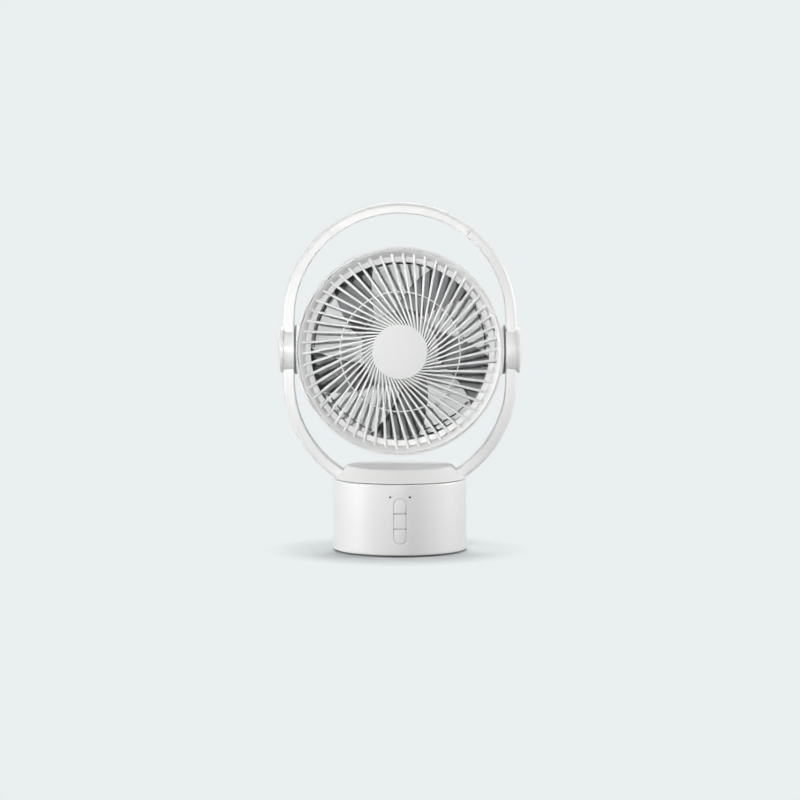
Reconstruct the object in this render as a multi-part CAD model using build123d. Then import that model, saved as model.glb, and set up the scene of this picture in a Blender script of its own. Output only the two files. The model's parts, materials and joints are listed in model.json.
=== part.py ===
from build123d import *
import os
from math import acos, atan2, cos, degrees, hypot, pi, radians, sin, sqrt, tan

# A rechargeable table fan, in millimetres. +Z is up, the fan blows along -Y, and the origin is on
# the floor under the middle of the base. A drum-shaped base carries a swinging turntable, a ring
# handle stands on the turntable, and the fan head tilts between the ring's two pivots.

# Clearances
running_gap = 0.05          # a pin or spindle in its bore
fit_gap = 0.2               # fixed pieces that slide together
moving_gap = 0.3            # pieces that move past each other
overrun = 6.0               # how far a cutting solid passes the face that it cuts

# Self-tapping screw with a pan head
screw_radius = 1.2
screw_head_radius = 2.3
screw_head_height = 1.5
screw_boss_wall = 2.0

# Base drum
base_radius = 66.5
base_height = 70.5
base_wall = 2.4
base_deck = 2.5
base_rim_round = 1.6
base_lower_round = 1.8
base_floor_gap = 1.5
bottom_thickness = 3.0
case_screw_count = 4
case_screw_length = 11.0
case_boss_length = 13.0
boss_merge = 0.6            # how far a screw boss runs into the wall behind it
foot_count = 4
foot_radius = 7.0
foot_recess = 1.2
foot_set_in = 20.5          # foot circle inside the drum's radius
foot_round = 0.5

# Battery
cell_count = 2
cell_radius = 9.2
cell_length = 65.2
cell_gap = 1.6
cell_cap_radius = 3.2
cell_cap_height = 0.8
tray_wall = 2.4
tray_floor = 1.6

# Buttons, switches and indicators
button_count = 3
button_height = 15.0
button_width = 12.4
button_bottom = 13.2        # lowest edge of the lowest button over the floor
button_travel = 0.5
button_gap = 0.25
button_flange_lip = 1.8
button_flange_thickness = 1.4
button_stem_radius = 2.2
button_stem_length = 2.4
switch_width = 6.0
switch_depth = 3.4
plunger_radius = 1.7
plunger_length = 0.9
board_thickness = 1.6
control_board_width = 31.0
control_board_height = 59.0
rail_grip = 1.2
rail_wall = 2.2
rail_lip = 2.0
indicator_radius = 0.85
indicator_spacing = 19.4
indicator_rise = 1.5        # indicator centres over the top of the buttons
led_width = 1.6
led_height = 0.7

# Charging socket
socket_width = 8.94
socket_height = 3.26
socket_wall = 0.3
socket_length = 7.35
socket_cavity = 6.2
socket_set_back = 0.9
socket_centre = 20.0        # over the floor
tongue_width = 6.69
tongue_thickness = 0.7
tongue_length = 4.45
charge_board_width = 18.0
charge_board_length = 15.0

# Swing drive
gear_module = 0.8
pinion_teeth = 18
gear_thickness = 5.0
gear_backlash = 0.12        # taken off each tooth at the pitch circle
gear_pressure_angle = 20.0
gear_addendum_share = 0.9
gear_dedendum_share = 1.25
spindle_radius = 12.0
spindle_bore = 9.0
spindle_flat = 1.4
spindle_tail = 1.6
bearing_wall = 3.0
bearing_length = 11.0
clip_thickness = 1.0
clip_depth = 1.0
clip_width = 3.0
clip_mouth = 9.0
swing_motor_radius = 14.0
swing_motor_gap = 1.1       # motor's plug to the drum's wall, at least
swing_motor_height = 19.0
swing_shaft_offset = 8.0
swing_shaft_radius = 2.5
swing_shaft_flat = 1.0
motor_collar_radius = 4.5
motor_collar_height = 1.4
motor_ear_span = 35.0
motor_ear_radius = 3.5
motor_ear_thickness = 0.8
motor_plug_width = 14.6
motor_plug_depth = 3.2
motor_plug_height = 15.0
motor_screw_length = 7.0
pinion_hub_height = 1.0

# Turntable
seam_gap = 0.8              # between the drum's rim and the turntable
washer_inner_radius = 17.0
washer_outer_radius = 31.0
washer_thickness = 1.0
plate_thickness = 2.6
cover_set_in = 1.5          # dome's rim inside the drum's
cover_lip = 1.0
cover_height = 13.2
cover_lean = 12.4           # how far the dome's side leans in
cover_shoulder = 6.0
cover_lip_round = 0.5
cover_wall = 2.2
cover_screw_count = 4
cover_screw_set_in = 12.6   # screw circle inside the dome's flat top
cover_screw_length = 6.0

# Ring handle
ring_side_gap = 2.5         # head to ring, beside the pivots
ring_thickness = 11.0
ring_depth = 25.0
ring_wall = 2.0
ring_outer_round = 4.0
ring_inner_round = 1.5
ring_seam = 0.15
handle_gap = 33.0           # finger room between the head and the top of the ring
head_to_cover_gap = 6.0
tab_length = 17.0
tab_thickness = 3.0
tab_set_in = 1.0
arm_screw_length = 4.6
ring_screw_length = 15.0
ring_screw_recess = 3.0
ring_sleeve_wall = 0.9
ring_screw_clear = 6.0      # ring screws over and under the pivot hubs
ring_screw_low_angle = 36.0
ring_screw_high_angle = 34.0
lamp_half_angle = 38.5
lamp_screw_angle = 5.0
lamp_board_angle = 10.0
lamp_board_width = 5.2
lamp_board_thickness = 1.2
lamp_board_stand = 0.6
lamp_led_count = 9
lamp_led_width = 2.8
lamp_led_height = 0.8

# Tilt pivots
hub_radius = 22.4
hub_step = 0.7              # hub's inner face past the ring's inner face
hub_round = 1.2
hub_recess_radius = 13.5
hub_recess_depth = 4.0
cap_radius = 23.0
cap_edge = 3.0
cap_dome = 2.2
cap_round = 1.2
cap_spigot = 1.2
cap_spigot_wall = 1.6
pad_radius = 24.3
pad_stand = 0.1             # pad's face past the drum's side
pad_thickness = 5.4
trunnion_radius = 8.0
trunnion_flange_radius = 14.5
trunnion_flange_thickness = 2.4
trunnion_screw_count = 3
trunnion_screw_circle = 11.2
trunnion_screw_length = 5.6
pivot_washer_radius = 12.0
pivot_washer_thickness = 1.4
pivot_screw_length = 10.0

# Head drum
head_radius = 103.0
head_wall = 2.2
head_front = 36.0           # tilt axis to the front lip
head_rear = 26.0            # tilt axis to the joint with the rear guard
lip_wall = 1.4
lip_depth = 3.0
lip_round = 1.0
guard_screw_count = 6
guard_screw_length = 14.0
guard_boss_length = 16.0
guard_column_height = 5.0

# Front grille
bezel_set_back = 0.5
snap_bead = 0.5             # bead round the bezel that clicks into the drum's lip
throat_set_in = 6.8         # throat's radius inside the drum's
throat_depth = 5.0
collar_set_in = 11.1        # collar's radius inside the drum's
collar_depth = 20.0
collar_wall = 1.4
shroud_length = 40.0        # straight part of the collar, past its cone
rib_count = 54
rib_offset = 18.5           # each rib's line passes this far from the middle
rib_depth = 3.2
rib_hub_width = 1.4
rib_rim_width = 2.7
rib_angle = 4.9
grille_hub_radius = 26.0
grille_crown = 4.4
mid_ring_radius = 59.5
mid_ring_width = 1.2
mid_ring_depth = 1.6
key_width = 1.6
key_height = 0.8
hub_cap_radius = 27.3
hub_cap_edge = 1.2
hub_cap_crown = 0.9
hub_cap_peg_radius = 3.0

# Rear guard
guard_depth = 12.0          # joint with the drum to the rear face
guard_wall = 2.4
guard_shoulder = 9.0
guard_ring_set_in = 13.0    # louvres' outer radius inside the drum's
guard_cup_radius = 42.0
guard_cup_depth = 7.5
guard_cup_taper = 5.0
guard_edge_round = 2.5
louvre_count = 9
louvre_wall = 1.5
louvre_depth = 7.0
louvre_overlap_share = 0.16
strut_count = 8
strut_width = 3.2
strut_depth = 3.0
tube_wall = 2.8
pedestal_wall = 2.0
pedestal_reach = 4.0        # motor's board in front of the louvres

# Fan motor
shaft_radius = 2.0
bearing_radius = 3.4
bearing_bush_length = 6.0
motor_board_radius = 31.0
stator_radius = 22.0
stator_height = 12.0
stator_hub_wall = 3.2
stator_teeth = 9
stator_tooth_width = 4.2
stator_shoe = 2.2
stator_shoe_share = 0.8
winding_build = 2.0
air_gap = 0.5
magnet_thickness = 2.2
magnet_height = 15.0
rotor_wall = 1.4
rotor_depth = 21.0
rotor_board_gap = 2.4
shaft_clip_thickness = 0.6
shaft_clip_width = 1.0

# Impeller
blade_count = 5
blade_tip_gap = 1.2         # blade tips to the grille's collar
blade_thickness = 1.8
blade_slot_set_in = 4.3     # slot along each blade's tip, inside the tip's radius
blade_slot_width = 1.4
blade_slot_share = 0.92     # slot's length as a share of the blade's width
blade_camber_share = 0.09
blade_tip_angle = 13.2
blade_radius_shares = (0.262, 0.497, 0.722, 1.012)
blade_half_width_shares = (0.098, 0.15, 0.248, 0.37)
blade_sweeps = (38.0, 21.5, 10.0, -3.0)
blade_pitches = (48.0, 40.0, 32.0, 25.0)
impeller_hub_radius = 36.5
impeller_hub_wall = 2.0
impeller_hub_depth = 24.0
impeller_face = 2.4
impeller_round = 4.0
impeller_seat_wall = 2.0
impeller_seat_depth = 9.0
impeller_cap_thickness = 1.6
impeller_cap_overhang = 1.5  # disc's radius past the hub's
impeller_cap_round = 0.7
impeller_peg_radius = 1.5
impeller_peg_circle = 15.0
impeller_peg_count = 3

# Levels worked out from the sizes above
base_top = base_floor_gap + base_height
base_inner = base_radius - base_wall
deck_under = base_top - base_deck
bottom_top = base_floor_gap + bottom_thickness
hole_radius = screw_radius + fit_gap
pilot_radius = screw_radius + running_gap
head_hole_radius = screw_head_radius + fit_gap
screw_boss_radius = screw_radius + screw_boss_wall
case_boss_circle = base_inner - screw_boss_radius + boss_merge
foot_circle = base_radius - foot_set_in

pinion_radius = gear_module * pinion_teeth / 2
drive_room = base_inner - swing_motor_gap - motor_plug_depth - swing_motor_radius - swing_shaft_offset
gear_teeth = int(2 * drive_room / gear_module) - pinion_teeth
gear_radius = gear_module * gear_teeth / 2
drive_distance = pinion_radius + gear_radius
bearing_low = base_top - bearing_length
gear_top = bearing_low - moving_gap
gear_low = gear_top - gear_thickness
clip_low = gear_low - fit_gap - clip_thickness
spindle_low = clip_low - spindle_tail
swing_motor_top = gear_low - pinion_hub_height - motor_collar_height - moving_gap
swing_motor_y = drive_distance + swing_shaft_offset

plate_low = base_top + washer_thickness + running_gap
plate_top = plate_low + plate_thickness
cover_radius = base_radius - cover_set_in
cover_top_radius = cover_radius - cover_lean
cover_screw_circle = cover_top_radius - cover_screw_set_in
cover_low = base_top + seam_gap
cover_top = cover_low + cover_height
cover_slope = (cover_height - cover_lip) / cover_lean
cover_hollow = cover_radius - cover_wall * hypot(1, cover_slope) / cover_slope
plate_radius = cover_hollow - (plate_top - cover_low - cover_lip) / cover_slope - moving_gap

head_inner = head_radius - head_wall
throat_radius = head_radius - throat_set_in
collar_radius = head_radius - collar_set_in
guard_ring_radius = head_radius - guard_ring_set_in
blade_tip_radius = collar_radius - blade_tip_gap
head_sweep = hypot(head_radius, head_front)
pivot_height = cover_top + head_to_cover_gap + head_sweep
ring_inner = head_radius + ring_side_gap
ring_outer = ring_inner + ring_thickness
ring_middle = ring_inner + ring_thickness / 2
ring_half_depth = ring_depth / 2
ring_straight = 2 * (handle_gap - ring_side_gap)
upper_centre = pivot_height + ring_straight / 2
lower_centre = pivot_height - ring_straight / 2
ring_foot = cover_low
lamp_start = 90 - lamp_half_angle

hub_in = ring_inner - hub_step
hub_out = ring_outer
hub_recess_floor = hub_out - hub_recess_depth
pad_face = head_radius + pad_stand
pad_inner = pad_face - pad_thickness
trunnion_end = hub_recess_floor + fit_gap

lip_y = -head_front
ledge_y = lip_y + lip_depth
lip_inner = head_radius - lip_wall
bezel_y = lip_y + bezel_set_back
bezel_radius = lip_inner - fit_gap
snap_y = (bezel_y + ledge_y) / 2
throat_y = lip_y + throat_depth
collar_y = lip_y + collar_depth
shroud_y = collar_y + shroud_length
guard_boss_circle = head_inner - screw_boss_radius + boss_merge
guard_y = head_rear + guard_depth
cup_y = guard_y + guard_cup_depth
cup_floor = cup_y - guard_wall
louvre_front = guard_y - louvre_depth

motor_board_y = louvre_front - pedestal_reach - board_thickness
rotor_rear = motor_board_y - rotor_board_gap
rotor_front = rotor_rear - rotor_depth
magnet_inner = stator_radius + air_gap
magnet_outer = magnet_inner + magnet_thickness
rotor_inner = magnet_outer + running_gap
rotor_outer = rotor_inner + rotor_wall
stator_middle = rotor_front + rotor_wall + (rotor_depth - rotor_wall) / 2
stator_bore = bearing_radius + tube_wall
bearing_front = rotor_front + rotor_wall + 2 * moving_gap
shaft_end = cup_floor - fit_gap
shaft_clip_y = shaft_end - 2 * shaft_clip_thickness
impeller_front = rotor_front - impeller_face - running_gap
impeller_rear = impeller_front + impeller_hub_depth
blade_middle = impeller_front + impeller_hub_depth / 2

CENTRE = Align.CENTER
LOW = Align.MIN
HEAD = Pos(0, 0, pivot_height)


def post(radius, low, high, x=0, y=0):
    """An upright cylinder between two heights."""
    return Pos(x, y, low) * Cylinder(radius, high - low, align=(CENTRE, CENTRE, LOW))


def bar_x(radius, start, end, y=0, z=0):
    """A cylinder along X between two places."""
    return Pos(start, y, z) * Rot(0, 90, 0) * Cylinder(radius, end - start, align=(CENTRE, CENTRE, LOW))


def bar_y(radius, start, end, x=0, z=0):
    """A cylinder along Y between two places."""
    return Pos(x, start, z) * Rot(-90, 0, 0) * Cylinder(radius, end - start, align=(CENTRE, CENTRE, LOW))


def block(x, y, z):
    """A box between pairs of limits."""
    return Pos(x[0], y[0], z[0]) * Box(x[1] - x[0], y[1] - y[0], z[1] - z[0], align=(LOW, LOW, LOW))


def tube(outer, inner, low, high):
    """An upright tube between two heights."""
    return post(outer, low, high) - post(inner, low - overrun, high + overrun)


def tube_y(outer, inner, start, end):
    """A tube on the head's own axis, along Y."""
    return bar_y(outer, start, end) - bar_y(inner, start - overrun, end + overrun)


def spun(points):
    """A solid turned about the head's own axis from (radius, y) points."""
    return revolve(make_face(Polyline(*points, close=True)), Axis.Y)


def corner(face, x, y):
    """The corner of a flat face that lies nearest to a point."""
    return face.vertices().sort_by_distance((x, y, 0))[0]


def crown_drop(radius, rise):
    """How far a shallow round crown has dropped from its top at half its radius."""
    ball = (radius**2 + rise**2) / (2 * rise)
    return ball - sqrt(ball**2 - (radius / 2) ** 2)


def both_sides(shape):
    """A shape and its mirror image across the middle of the fan."""
    return [shape, mirror(shape, about=Plane.YZ)]


def around(shape, count, start=0):
    """Copies of a shape turned about Z."""
    return [Rot(0, 0, start + 360 * i / count) * shape for i in range(count)]


def around_head(shape, count, start=0):
    """Copies of a shape turned about the head's own axis, counter-clockwise from the front."""
    return [Rot(0, -start - 360 * i / count, 0) * shape for i in range(count)]


def group(shapes):
    """Separate solids kept together in one node."""
    return Compound([solid for shape in shapes for solid in shape.solids()])


def screw(length):
    """A screw that points up, with the underside of its head at the origin."""
    return post(screw_radius, 0, length) + post(screw_head_radius, -screw_head_height, 0)


# Base

def pill(inset, start, end):
    """The upright pill outline of the buttons, run along Y."""
    height = button_count * button_height
    outline = SlotOverall(height - 2 * inset, button_width - 2 * inset, rotation=90)
    plane = Plane((0, start, button_bottom + height / 2), x_dir=(1, 0, 0), z_dir=(0, 1, 0))
    return extrude(plane * outline, end - start)


flange_half = button_width / 2 + button_flange_lip
flange_front = sqrt(base_inner**2 - flange_half**2) - moving_gap
flange_back = flange_front - button_flange_thickness
stem_end = flange_back - button_stem_length
plunger_front = stem_end - button_travel - fit_gap
switch_front = plunger_front - plunger_length
board_front = switch_front - switch_depth
board_back = board_front - board_thickness
indicator_height = button_bottom + button_count * button_height + indicator_rise
indicator_front = sqrt(base_radius**2 - (indicator_spacing / 2) ** 2)
socket_low = socket_centre - socket_height / 2
socket_mouth = base_radius - socket_set_back
charge_half = charge_board_width / 2
charge_board_end = sqrt(base_inner**2 - charge_half**2) - fit_gap


def control_board_box(gap):
    half = control_board_width / 2 + gap
    height = (bottom_top, bottom_top + control_board_height + gap)
    return block((-half, half), (-board_front - gap, -board_back + gap), height)


def charge_board_box(gap):
    half = charge_half + gap
    depth = (charge_board_end - charge_board_length - gap, charge_board_end + gap)
    return block((-half, half), depth, (socket_low - board_thickness - gap, socket_low + gap))


def board_rails():
    """Grooved rails inside the drum that the two boards slide into."""
    board_half = control_board_width / 2
    front = block(
        (board_half - rail_grip, board_half + rail_wall),
        (-base_radius, -board_back + rail_lip),
        (bottom_top + fit_gap, bottom_top + control_board_height),
    )
    rear = block(
        (charge_half - rail_grip, charge_half + rail_wall),
        (charge_board_end - charge_board_length, base_radius),
        (socket_low - board_thickness - rail_lip, socket_low + rail_lip),
    )
    rails = Part() + both_sides(front) + both_sides(rear)
    rails = rails & post(base_inner + base_wall / 2, base_floor_gap, base_top)
    return rails - control_board_box(fit_gap) - charge_board_box(fit_gap)


def make_base_shell():
    drum = post(base_radius, base_floor_gap, base_top)
    drum = fillet(drum.edges().sort_by(Axis.Z)[-1], base_rim_round)
    drum = fillet(drum.edges().sort_by(Axis.Z)[0], min(base_lower_round, base_wall - fit_gap))
    shell = drum - post(base_inner, base_floor_gap - overrun, deck_under)
    bearing = post(spindle_radius + running_gap + bearing_wall, bearing_low, deck_under)
    case_boss = post(screw_boss_radius, bottom_top, bottom_top + case_boss_length, case_boss_circle)
    motor_post = post(screw_boss_radius, swing_motor_top, deck_under, motor_ear_span / 2, swing_motor_y)
    shell = shell + [bearing] + around(case_boss, case_screw_count, 45)
    shell = shell + both_sides(motor_post) + board_rails()
    pilot = post(pilot_radius, bottom_top - overrun, bottom_top + case_screw_length, case_boss_circle)
    motor_pilot = Pos(motor_ear_span / 2, swing_motor_y) * post(
        pilot_radius, swing_motor_top - overrun, swing_motor_top + motor_screw_length
    )
    window = pill(0, -base_radius - overrun, -base_inner + overrun)
    indicator = bar_y(
        indicator_radius + fit_gap / 2, -base_radius - overrun, -base_inner + overrun,
        indicator_spacing / 2, indicator_height,
    )
    mouth_plane = Plane((0, base_inner - overrun, socket_centre), x_dir=(1, 0, 0), z_dir=(0, 1, 0))
    mouth = SlotOverall(socket_width + 2 * moving_gap, socket_height + 2 * moving_gap)
    mouth = extrude(mouth_plane * mouth, base_wall + 2 * overrun)
    bore = post(spindle_radius + running_gap, bearing_low - overrun, base_top + overrun)
    cuts = around(pilot, case_screw_count, 45) + both_sides(motor_pilot) + both_sides(indicator)
    return shell - cuts - window - mouth - bore


def make_base_bottom():
    plate = post(base_inner - fit_gap, base_floor_gap, bottom_top)
    hole = post(hole_radius, base_floor_gap - overrun, bottom_top + overrun, case_boss_circle)
    head_top = base_floor_gap + screw_head_height + fit_gap
    hole += post(head_hole_radius, base_floor_gap - overrun, head_top, case_boss_circle)
    seat = post(foot_radius, base_floor_gap - overrun, base_floor_gap + foot_recess, foot_circle)
    return plate - around(hole, case_screw_count, 45) - around(seat, foot_count)


def make_rubber_feet():
    foot = post(foot_radius - fit_gap, 0, base_floor_gap + foot_recess)
    foot = fillet(foot.edges().sort_by(Axis.Z)[0], foot_round)
    return group(around(Pos(foot_circle, 0) * foot, foot_count))


def make_case_screws():
    head_seat = base_floor_gap + screw_head_height + fit_gap
    one = Pos(case_boss_circle, 0, head_seat) * screw(case_screw_length)
    return group(around(one, case_screw_count, 45))


cell_pitch = 2 * cell_radius + cell_gap
cell_axis = bottom_top + tray_floor + cell_radius + fit_gap / 2
cell_places = [cell_pitch * (i - (cell_count - 1) / 2) for i in range(cell_count)]


def make_battery_tray():
    half_length = cell_length / 2 + cell_cap_height + fit_gap + tray_wall
    half_width = cell_count * cell_pitch / 2 + tray_wall
    tray = block((-half_length, half_length), (-half_width, half_width), (bottom_top, cell_axis))
    room = half_length - tray_wall
    cells = [bar_x(cell_radius + fit_gap / 2, -room, room, y, cell_axis) for y in cell_places]
    return tray - cells


def make_battery_cells():
    cell = bar_x(cell_radius, -cell_length / 2, cell_length / 2)
    cell = fillet(cell.edges().filter_by(GeomType.CIRCLE), cell_cap_height / 2)
    cell += bar_x(cell_cap_radius, cell_length / 2, cell_length / 2 + cell_cap_height)
    turns = [Rot(0, 0, 180 * (i % 2)) for i in range(cell_count)]
    return group([Pos(0, y, cell_axis) * turn * cell for y, turn in zip(cell_places, turns)])


def button_heights():
    return [button_bottom + button_height * i for i in range(button_count)]


def make_button(low):
    """One of the buttons, counted by the height of its lower edge."""
    ends = (low + button_gap, low + button_height - button_gap)
    inside = block((-flange_half, flange_half), (-base_radius - overrun, 0), ends)
    cap = pill(button_gap, -base_radius - overrun, -flange_back) & inside & post(base_radius, *ends)
    flange = block((-flange_half, flange_half), (-flange_front, -flange_back), ends)
    stem = bar_y(button_stem_radius, -flange_back, -stem_end, 0, low + button_height / 2)
    return cap + flange + stem


def make_button_switches():
    half = switch_width / 2
    switches = []
    for low in button_heights():
        middle = low + button_height / 2
        body = block((-half, half), (-switch_front, -board_front), (middle - half, middle + half))
        switches.append(body + bar_y(plunger_radius, -plunger_front, -switch_front, 0, middle))
    return group(switches)


def make_control_board():
    return control_board_box(0)


def make_indicator_leds():
    half = led_width / 2
    x = indicator_spacing / 2
    chip = block(
        (x - half, x + half), (-board_front - led_height, -board_front),
        (indicator_height - half, indicator_height + half),
    )
    return group(both_sides(chip))


def make_indicator_lenses():
    back = -board_front - led_height - fit_gap
    lens = bar_y(indicator_radius, -indicator_front, back, indicator_spacing / 2, indicator_height)
    return group(both_sides(lens))


def make_charge_board():
    return charge_board_box(0)


def make_charge_socket():
    plane = Plane((0, socket_mouth, socket_centre), x_dir=(1, 0, 0), z_dir=(0, -1, 0))
    can = extrude(plane * SlotOverall(socket_width, socket_height), socket_length)
    cavity = SlotOverall(socket_width - 2 * socket_wall, socket_height - 2 * socket_wall)
    can -= extrude(plane * cavity, socket_cavity)
    floor_y = socket_mouth - socket_cavity
    return can + block(
        (-tongue_width / 2, tongue_width / 2), (floor_y, floor_y + tongue_length),
        (socket_centre - tongue_thickness / 2, socket_centre + tongue_thickness / 2),
    )


# Swing drive

def gear_face(teeth, first_tooth):
    """A spur gear's outline with involute flanks, one tooth pointing at an angle."""
    pitch = gear_module * teeth / 2
    base = pitch * cos(radians(gear_pressure_angle))
    tip = pitch + gear_addendum_share * gear_module
    root = pitch - gear_dedendum_share * gear_module
    low = max(base, root)
    pressure = radians(gear_pressure_angle)
    pitch_half = pi / (2 * teeth) - gear_backlash / (2 * pitch)

    def flank(radius, side, middle):
        roll = acos(min(base / radius, 1))
        half = pitch_half + tan(pressure) - pressure - tan(roll) + roll
        angle = middle + side * half
        return (radius * cos(angle), radius * sin(angle))

    def at(radius, angle):
        return (radius * cos(angle), radius * sin(angle))

    edges = []
    step = 2 * pi / teeth
    for i in range(teeth):
        middle = radians(first_tooth) + step * i
        radii = (low, (low + tip) / 2, tip)
        rise = [flank(radius, -1, middle) for radius in radii]
        fall = [flank(radius, 1, middle) for radius in reversed(radii)]
        foot = atan2(fall[-1][1], fall[-1][0])
        foot_half = (foot - middle + pi) % (2 * pi) - pi
        edges.append(ThreePointArc(*rise))
        edges.append(ThreePointArc(rise[-1], at(tip, middle), fall[0]))
        edges.append(ThreePointArc(*fall))
        near = at(root, middle + foot_half)
        far = at(root, middle + step - foot_half)
        edges.append(ThreePointArc(near, at(root, middle + step / 2), far))
        if low > root:
            edges.append(Line(fall[-1], near))
            edges.append(Line(far, flank(low, -1, middle + step)))
    return make_face(edges)


def spindle_bar(radius, low, high):
    """An upright bar with a flat on its +X side, which keys the gear to the spindle."""
    bar = post(radius, low, high)
    flat = block(
        (radius - spindle_flat, radius + overrun), (-radius - overrun, radius + overrun),
        (low - overrun, high + overrun),
    )
    return bar - flat


def make_swing_gear():
    gear = Pos(0, 0, gear_low) * extrude(gear_face(gear_teeth, 90), gear_thickness)
    return gear - spindle_bar(spindle_radius + running_gap, gear_low - overrun, gear_top + overrun)


def swing_shaft_bar(radius, low, high):
    bar = post(radius, low, high)
    reach = radius - swing_shaft_flat
    return bar & block((-reach, reach), (-radius, radius), (low, high))


def make_swing_pinion():
    gap_towards_gear = 270 + 180 / pinion_teeth
    pinion = Pos(0, 0, gear_low) * extrude(gear_face(pinion_teeth, gap_towards_gear), gear_thickness)
    pinion += post(motor_collar_radius, gear_low - pinion_hub_height, gear_low)
    pinion -= swing_shaft_bar(swing_shaft_radius + running_gap, gear_low - overrun, gear_top + overrun)
    return Pos(0, drive_distance) * pinion


def make_swing_shaft():
    round_top = swing_motor_top + motor_collar_height
    shaft = post(swing_shaft_radius - swing_shaft_flat, swing_motor_top + running_gap, round_top)
    shaft += swing_shaft_bar(swing_shaft_radius, round_top, gear_top)
    return Pos(0, drive_distance) * shaft


def make_swing_motor():
    low = swing_motor_top - swing_motor_height
    can = post(swing_motor_radius, low, swing_motor_top)
    ear_low = swing_motor_top - motor_ear_thickness
    half = motor_ear_span / 2
    ears = block((-half, half), (-motor_ear_radius, motor_ear_radius), (ear_low, swing_motor_top))
    ears += both_sides(post(motor_ear_radius, ear_low, swing_motor_top, half))
    ears -= both_sides(post(hole_radius, ear_low - overrun, swing_motor_top + overrun, half))
    plug_out = swing_motor_radius + motor_plug_depth
    plug = block(
        (-motor_plug_width / 2, motor_plug_width / 2), (0, plug_out), (low, low + motor_plug_height)
    )
    collar_y = -swing_shaft_offset
    collar_top = swing_motor_top + motor_collar_height
    motor = can + ears + plug + post(motor_collar_radius, swing_motor_top, collar_top, 0, collar_y)
    motor -= post(
        swing_shaft_radius - swing_shaft_flat + running_gap,
        swing_motor_top, collar_top + overrun, 0, collar_y,
    )
    return Pos(0, swing_motor_y) * motor


def make_motor_screws():
    seat = swing_motor_top - motor_ear_thickness
    return group(both_sides(Pos(motor_ear_span / 2, swing_motor_y, seat) * screw(motor_screw_length)))


def make_thrust_washer():
    return tube(washer_outer_radius, washer_inner_radius, base_top, base_top + washer_thickness)


# Turntable

def arm_block(gap, low, high):
    """Room for the ring's two feet, from their inner side out past the rim."""
    start = sqrt(ring_inner**2 - (lower_centre - ring_foot) ** 2) - gap
    half = ring_half_depth + gap
    return both_sides(block((start, base_radius + overrun), (-half, half), (low, high)))


def make_turntable_plate():
    plate = post(plate_radius, plate_low, plate_top)
    plate += post(spindle_radius, bearing_low, plate_low)
    plate += spindle_bar(spindle_radius, spindle_low, bearing_low)
    plate -= post(spindle_bore, spindle_low - overrun, plate_top + overrun)
    groove_low = clip_low - running_gap
    groove_high = clip_low + clip_thickness + running_gap
    plate -= tube(spindle_radius + overrun, spindle_radius - clip_depth, groove_low, groove_high)
    plate -= arm_block(fit_gap, plate_low - overrun, plate_top + overrun)
    hole = post(hole_radius, plate_low - overrun, plate_top + overrun, cover_screw_circle)
    hole += post(
        head_hole_radius, plate_low - overrun, plate_low + screw_head_height + fit_gap, cover_screw_circle
    )
    plate -= around(hole, cover_screw_count, 45)
    return plate - [Pos(x, y) * post(pilot_radius, plate_low - overrun, plate_top + overrun)
                    for x, y in arm_screw_places()]


def make_spindle_clip():
    clip = tube(
        spindle_radius + clip_width, spindle_radius - clip_depth + running_gap,
        clip_low, clip_low + clip_thickness,
    )
    mouth = clip_mouth / 2
    return clip - block(
        (0, spindle_radius + clip_width + overrun), (-mouth, mouth),
        (clip_low - overrun, clip_low + clip_thickness + overrun),
    )


def cover_points(inset):
    """The dome's outline, whole or moved in by its wall."""
    top = cover_top - inset
    lip_radius = cover_radius - inset
    steep = hypot(1, cover_slope)
    lip_top = cover_low + cover_lip - inset * (steep - cover_slope)
    top_radius = cover_top_radius - inset * (steep - 1) / cover_slope
    return [
        (0, cover_low - inset), (lip_radius, cover_low - inset), (lip_radius, lip_top),
        (top_radius, top), (0, top),
    ]


def make_turntable_cover():
    outer = make_face(Polyline(*cover_points(0), close=True))
    outer = fillet(corner(outer, cover_top_radius, cover_top), cover_shoulder)
    outer = fillet(corner(outer, cover_radius, cover_low + cover_lip), cover_lip_round)
    dome = revolve(Plane.XZ * outer, Axis.Z)
    inner = make_face(Polyline(*cover_points(cover_wall), close=True))
    inner = fillet(corner(inner, cover_top_radius, cover_top), cover_shoulder - cover_wall)
    dome -= revolve(Plane.XZ * inner, Axis.Z)
    boss = post(screw_boss_radius, plate_top, cover_top - cover_wall, cover_screw_circle)
    pilot = post(pilot_radius, plate_top - overrun, plate_top + cover_screw_length, cover_screw_circle)
    dome = dome + around(boss, cover_screw_count, 45)
    dome -= around(pilot, cover_screw_count, 45)
    dome -= both_sides(ring_side(ring_outline(fit_gap), 0, cover_low - overrun))
    return dome - arm_block(fit_gap, cover_low - overrun, cover_low + cover_lip + seam_gap)


def make_cover_screws():
    seat = plate_low + screw_head_height + fit_gap
    length = plate_thickness + cover_screw_length - screw_head_height - 2 * fit_gap
    return group(around(Pos(cover_screw_circle, 0, seat) * screw(length), cover_screw_count, 45))


# Ring handle

def ring_outline(gap):
    """The ring's section as a filled outline, grown by a gap."""
    low = ring_inner - gap
    high = ring_outer + gap
    half = ring_half_depth + gap
    face = make_face(Polyline((low, -half), (high, -half), (high, half), (low, half), close=True))
    for y in (-half, half):
        face = fillet(corner(face, high, y), ring_outer_round + gap)
        face = fillet(corner(face, low, y), ring_inner_round + gap)
    return face


def ring_channel(seam):
    """The front half of the hollow ring's section, open towards the seam."""
    far = ring_outer + overrun
    keep = make_face(Polyline(
        (0, -seam), (far, -seam), (far, -ring_depth), (0, -ring_depth), close=True
    ))
    return (ring_outline(0) - ring_hollow()) & keep


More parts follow.
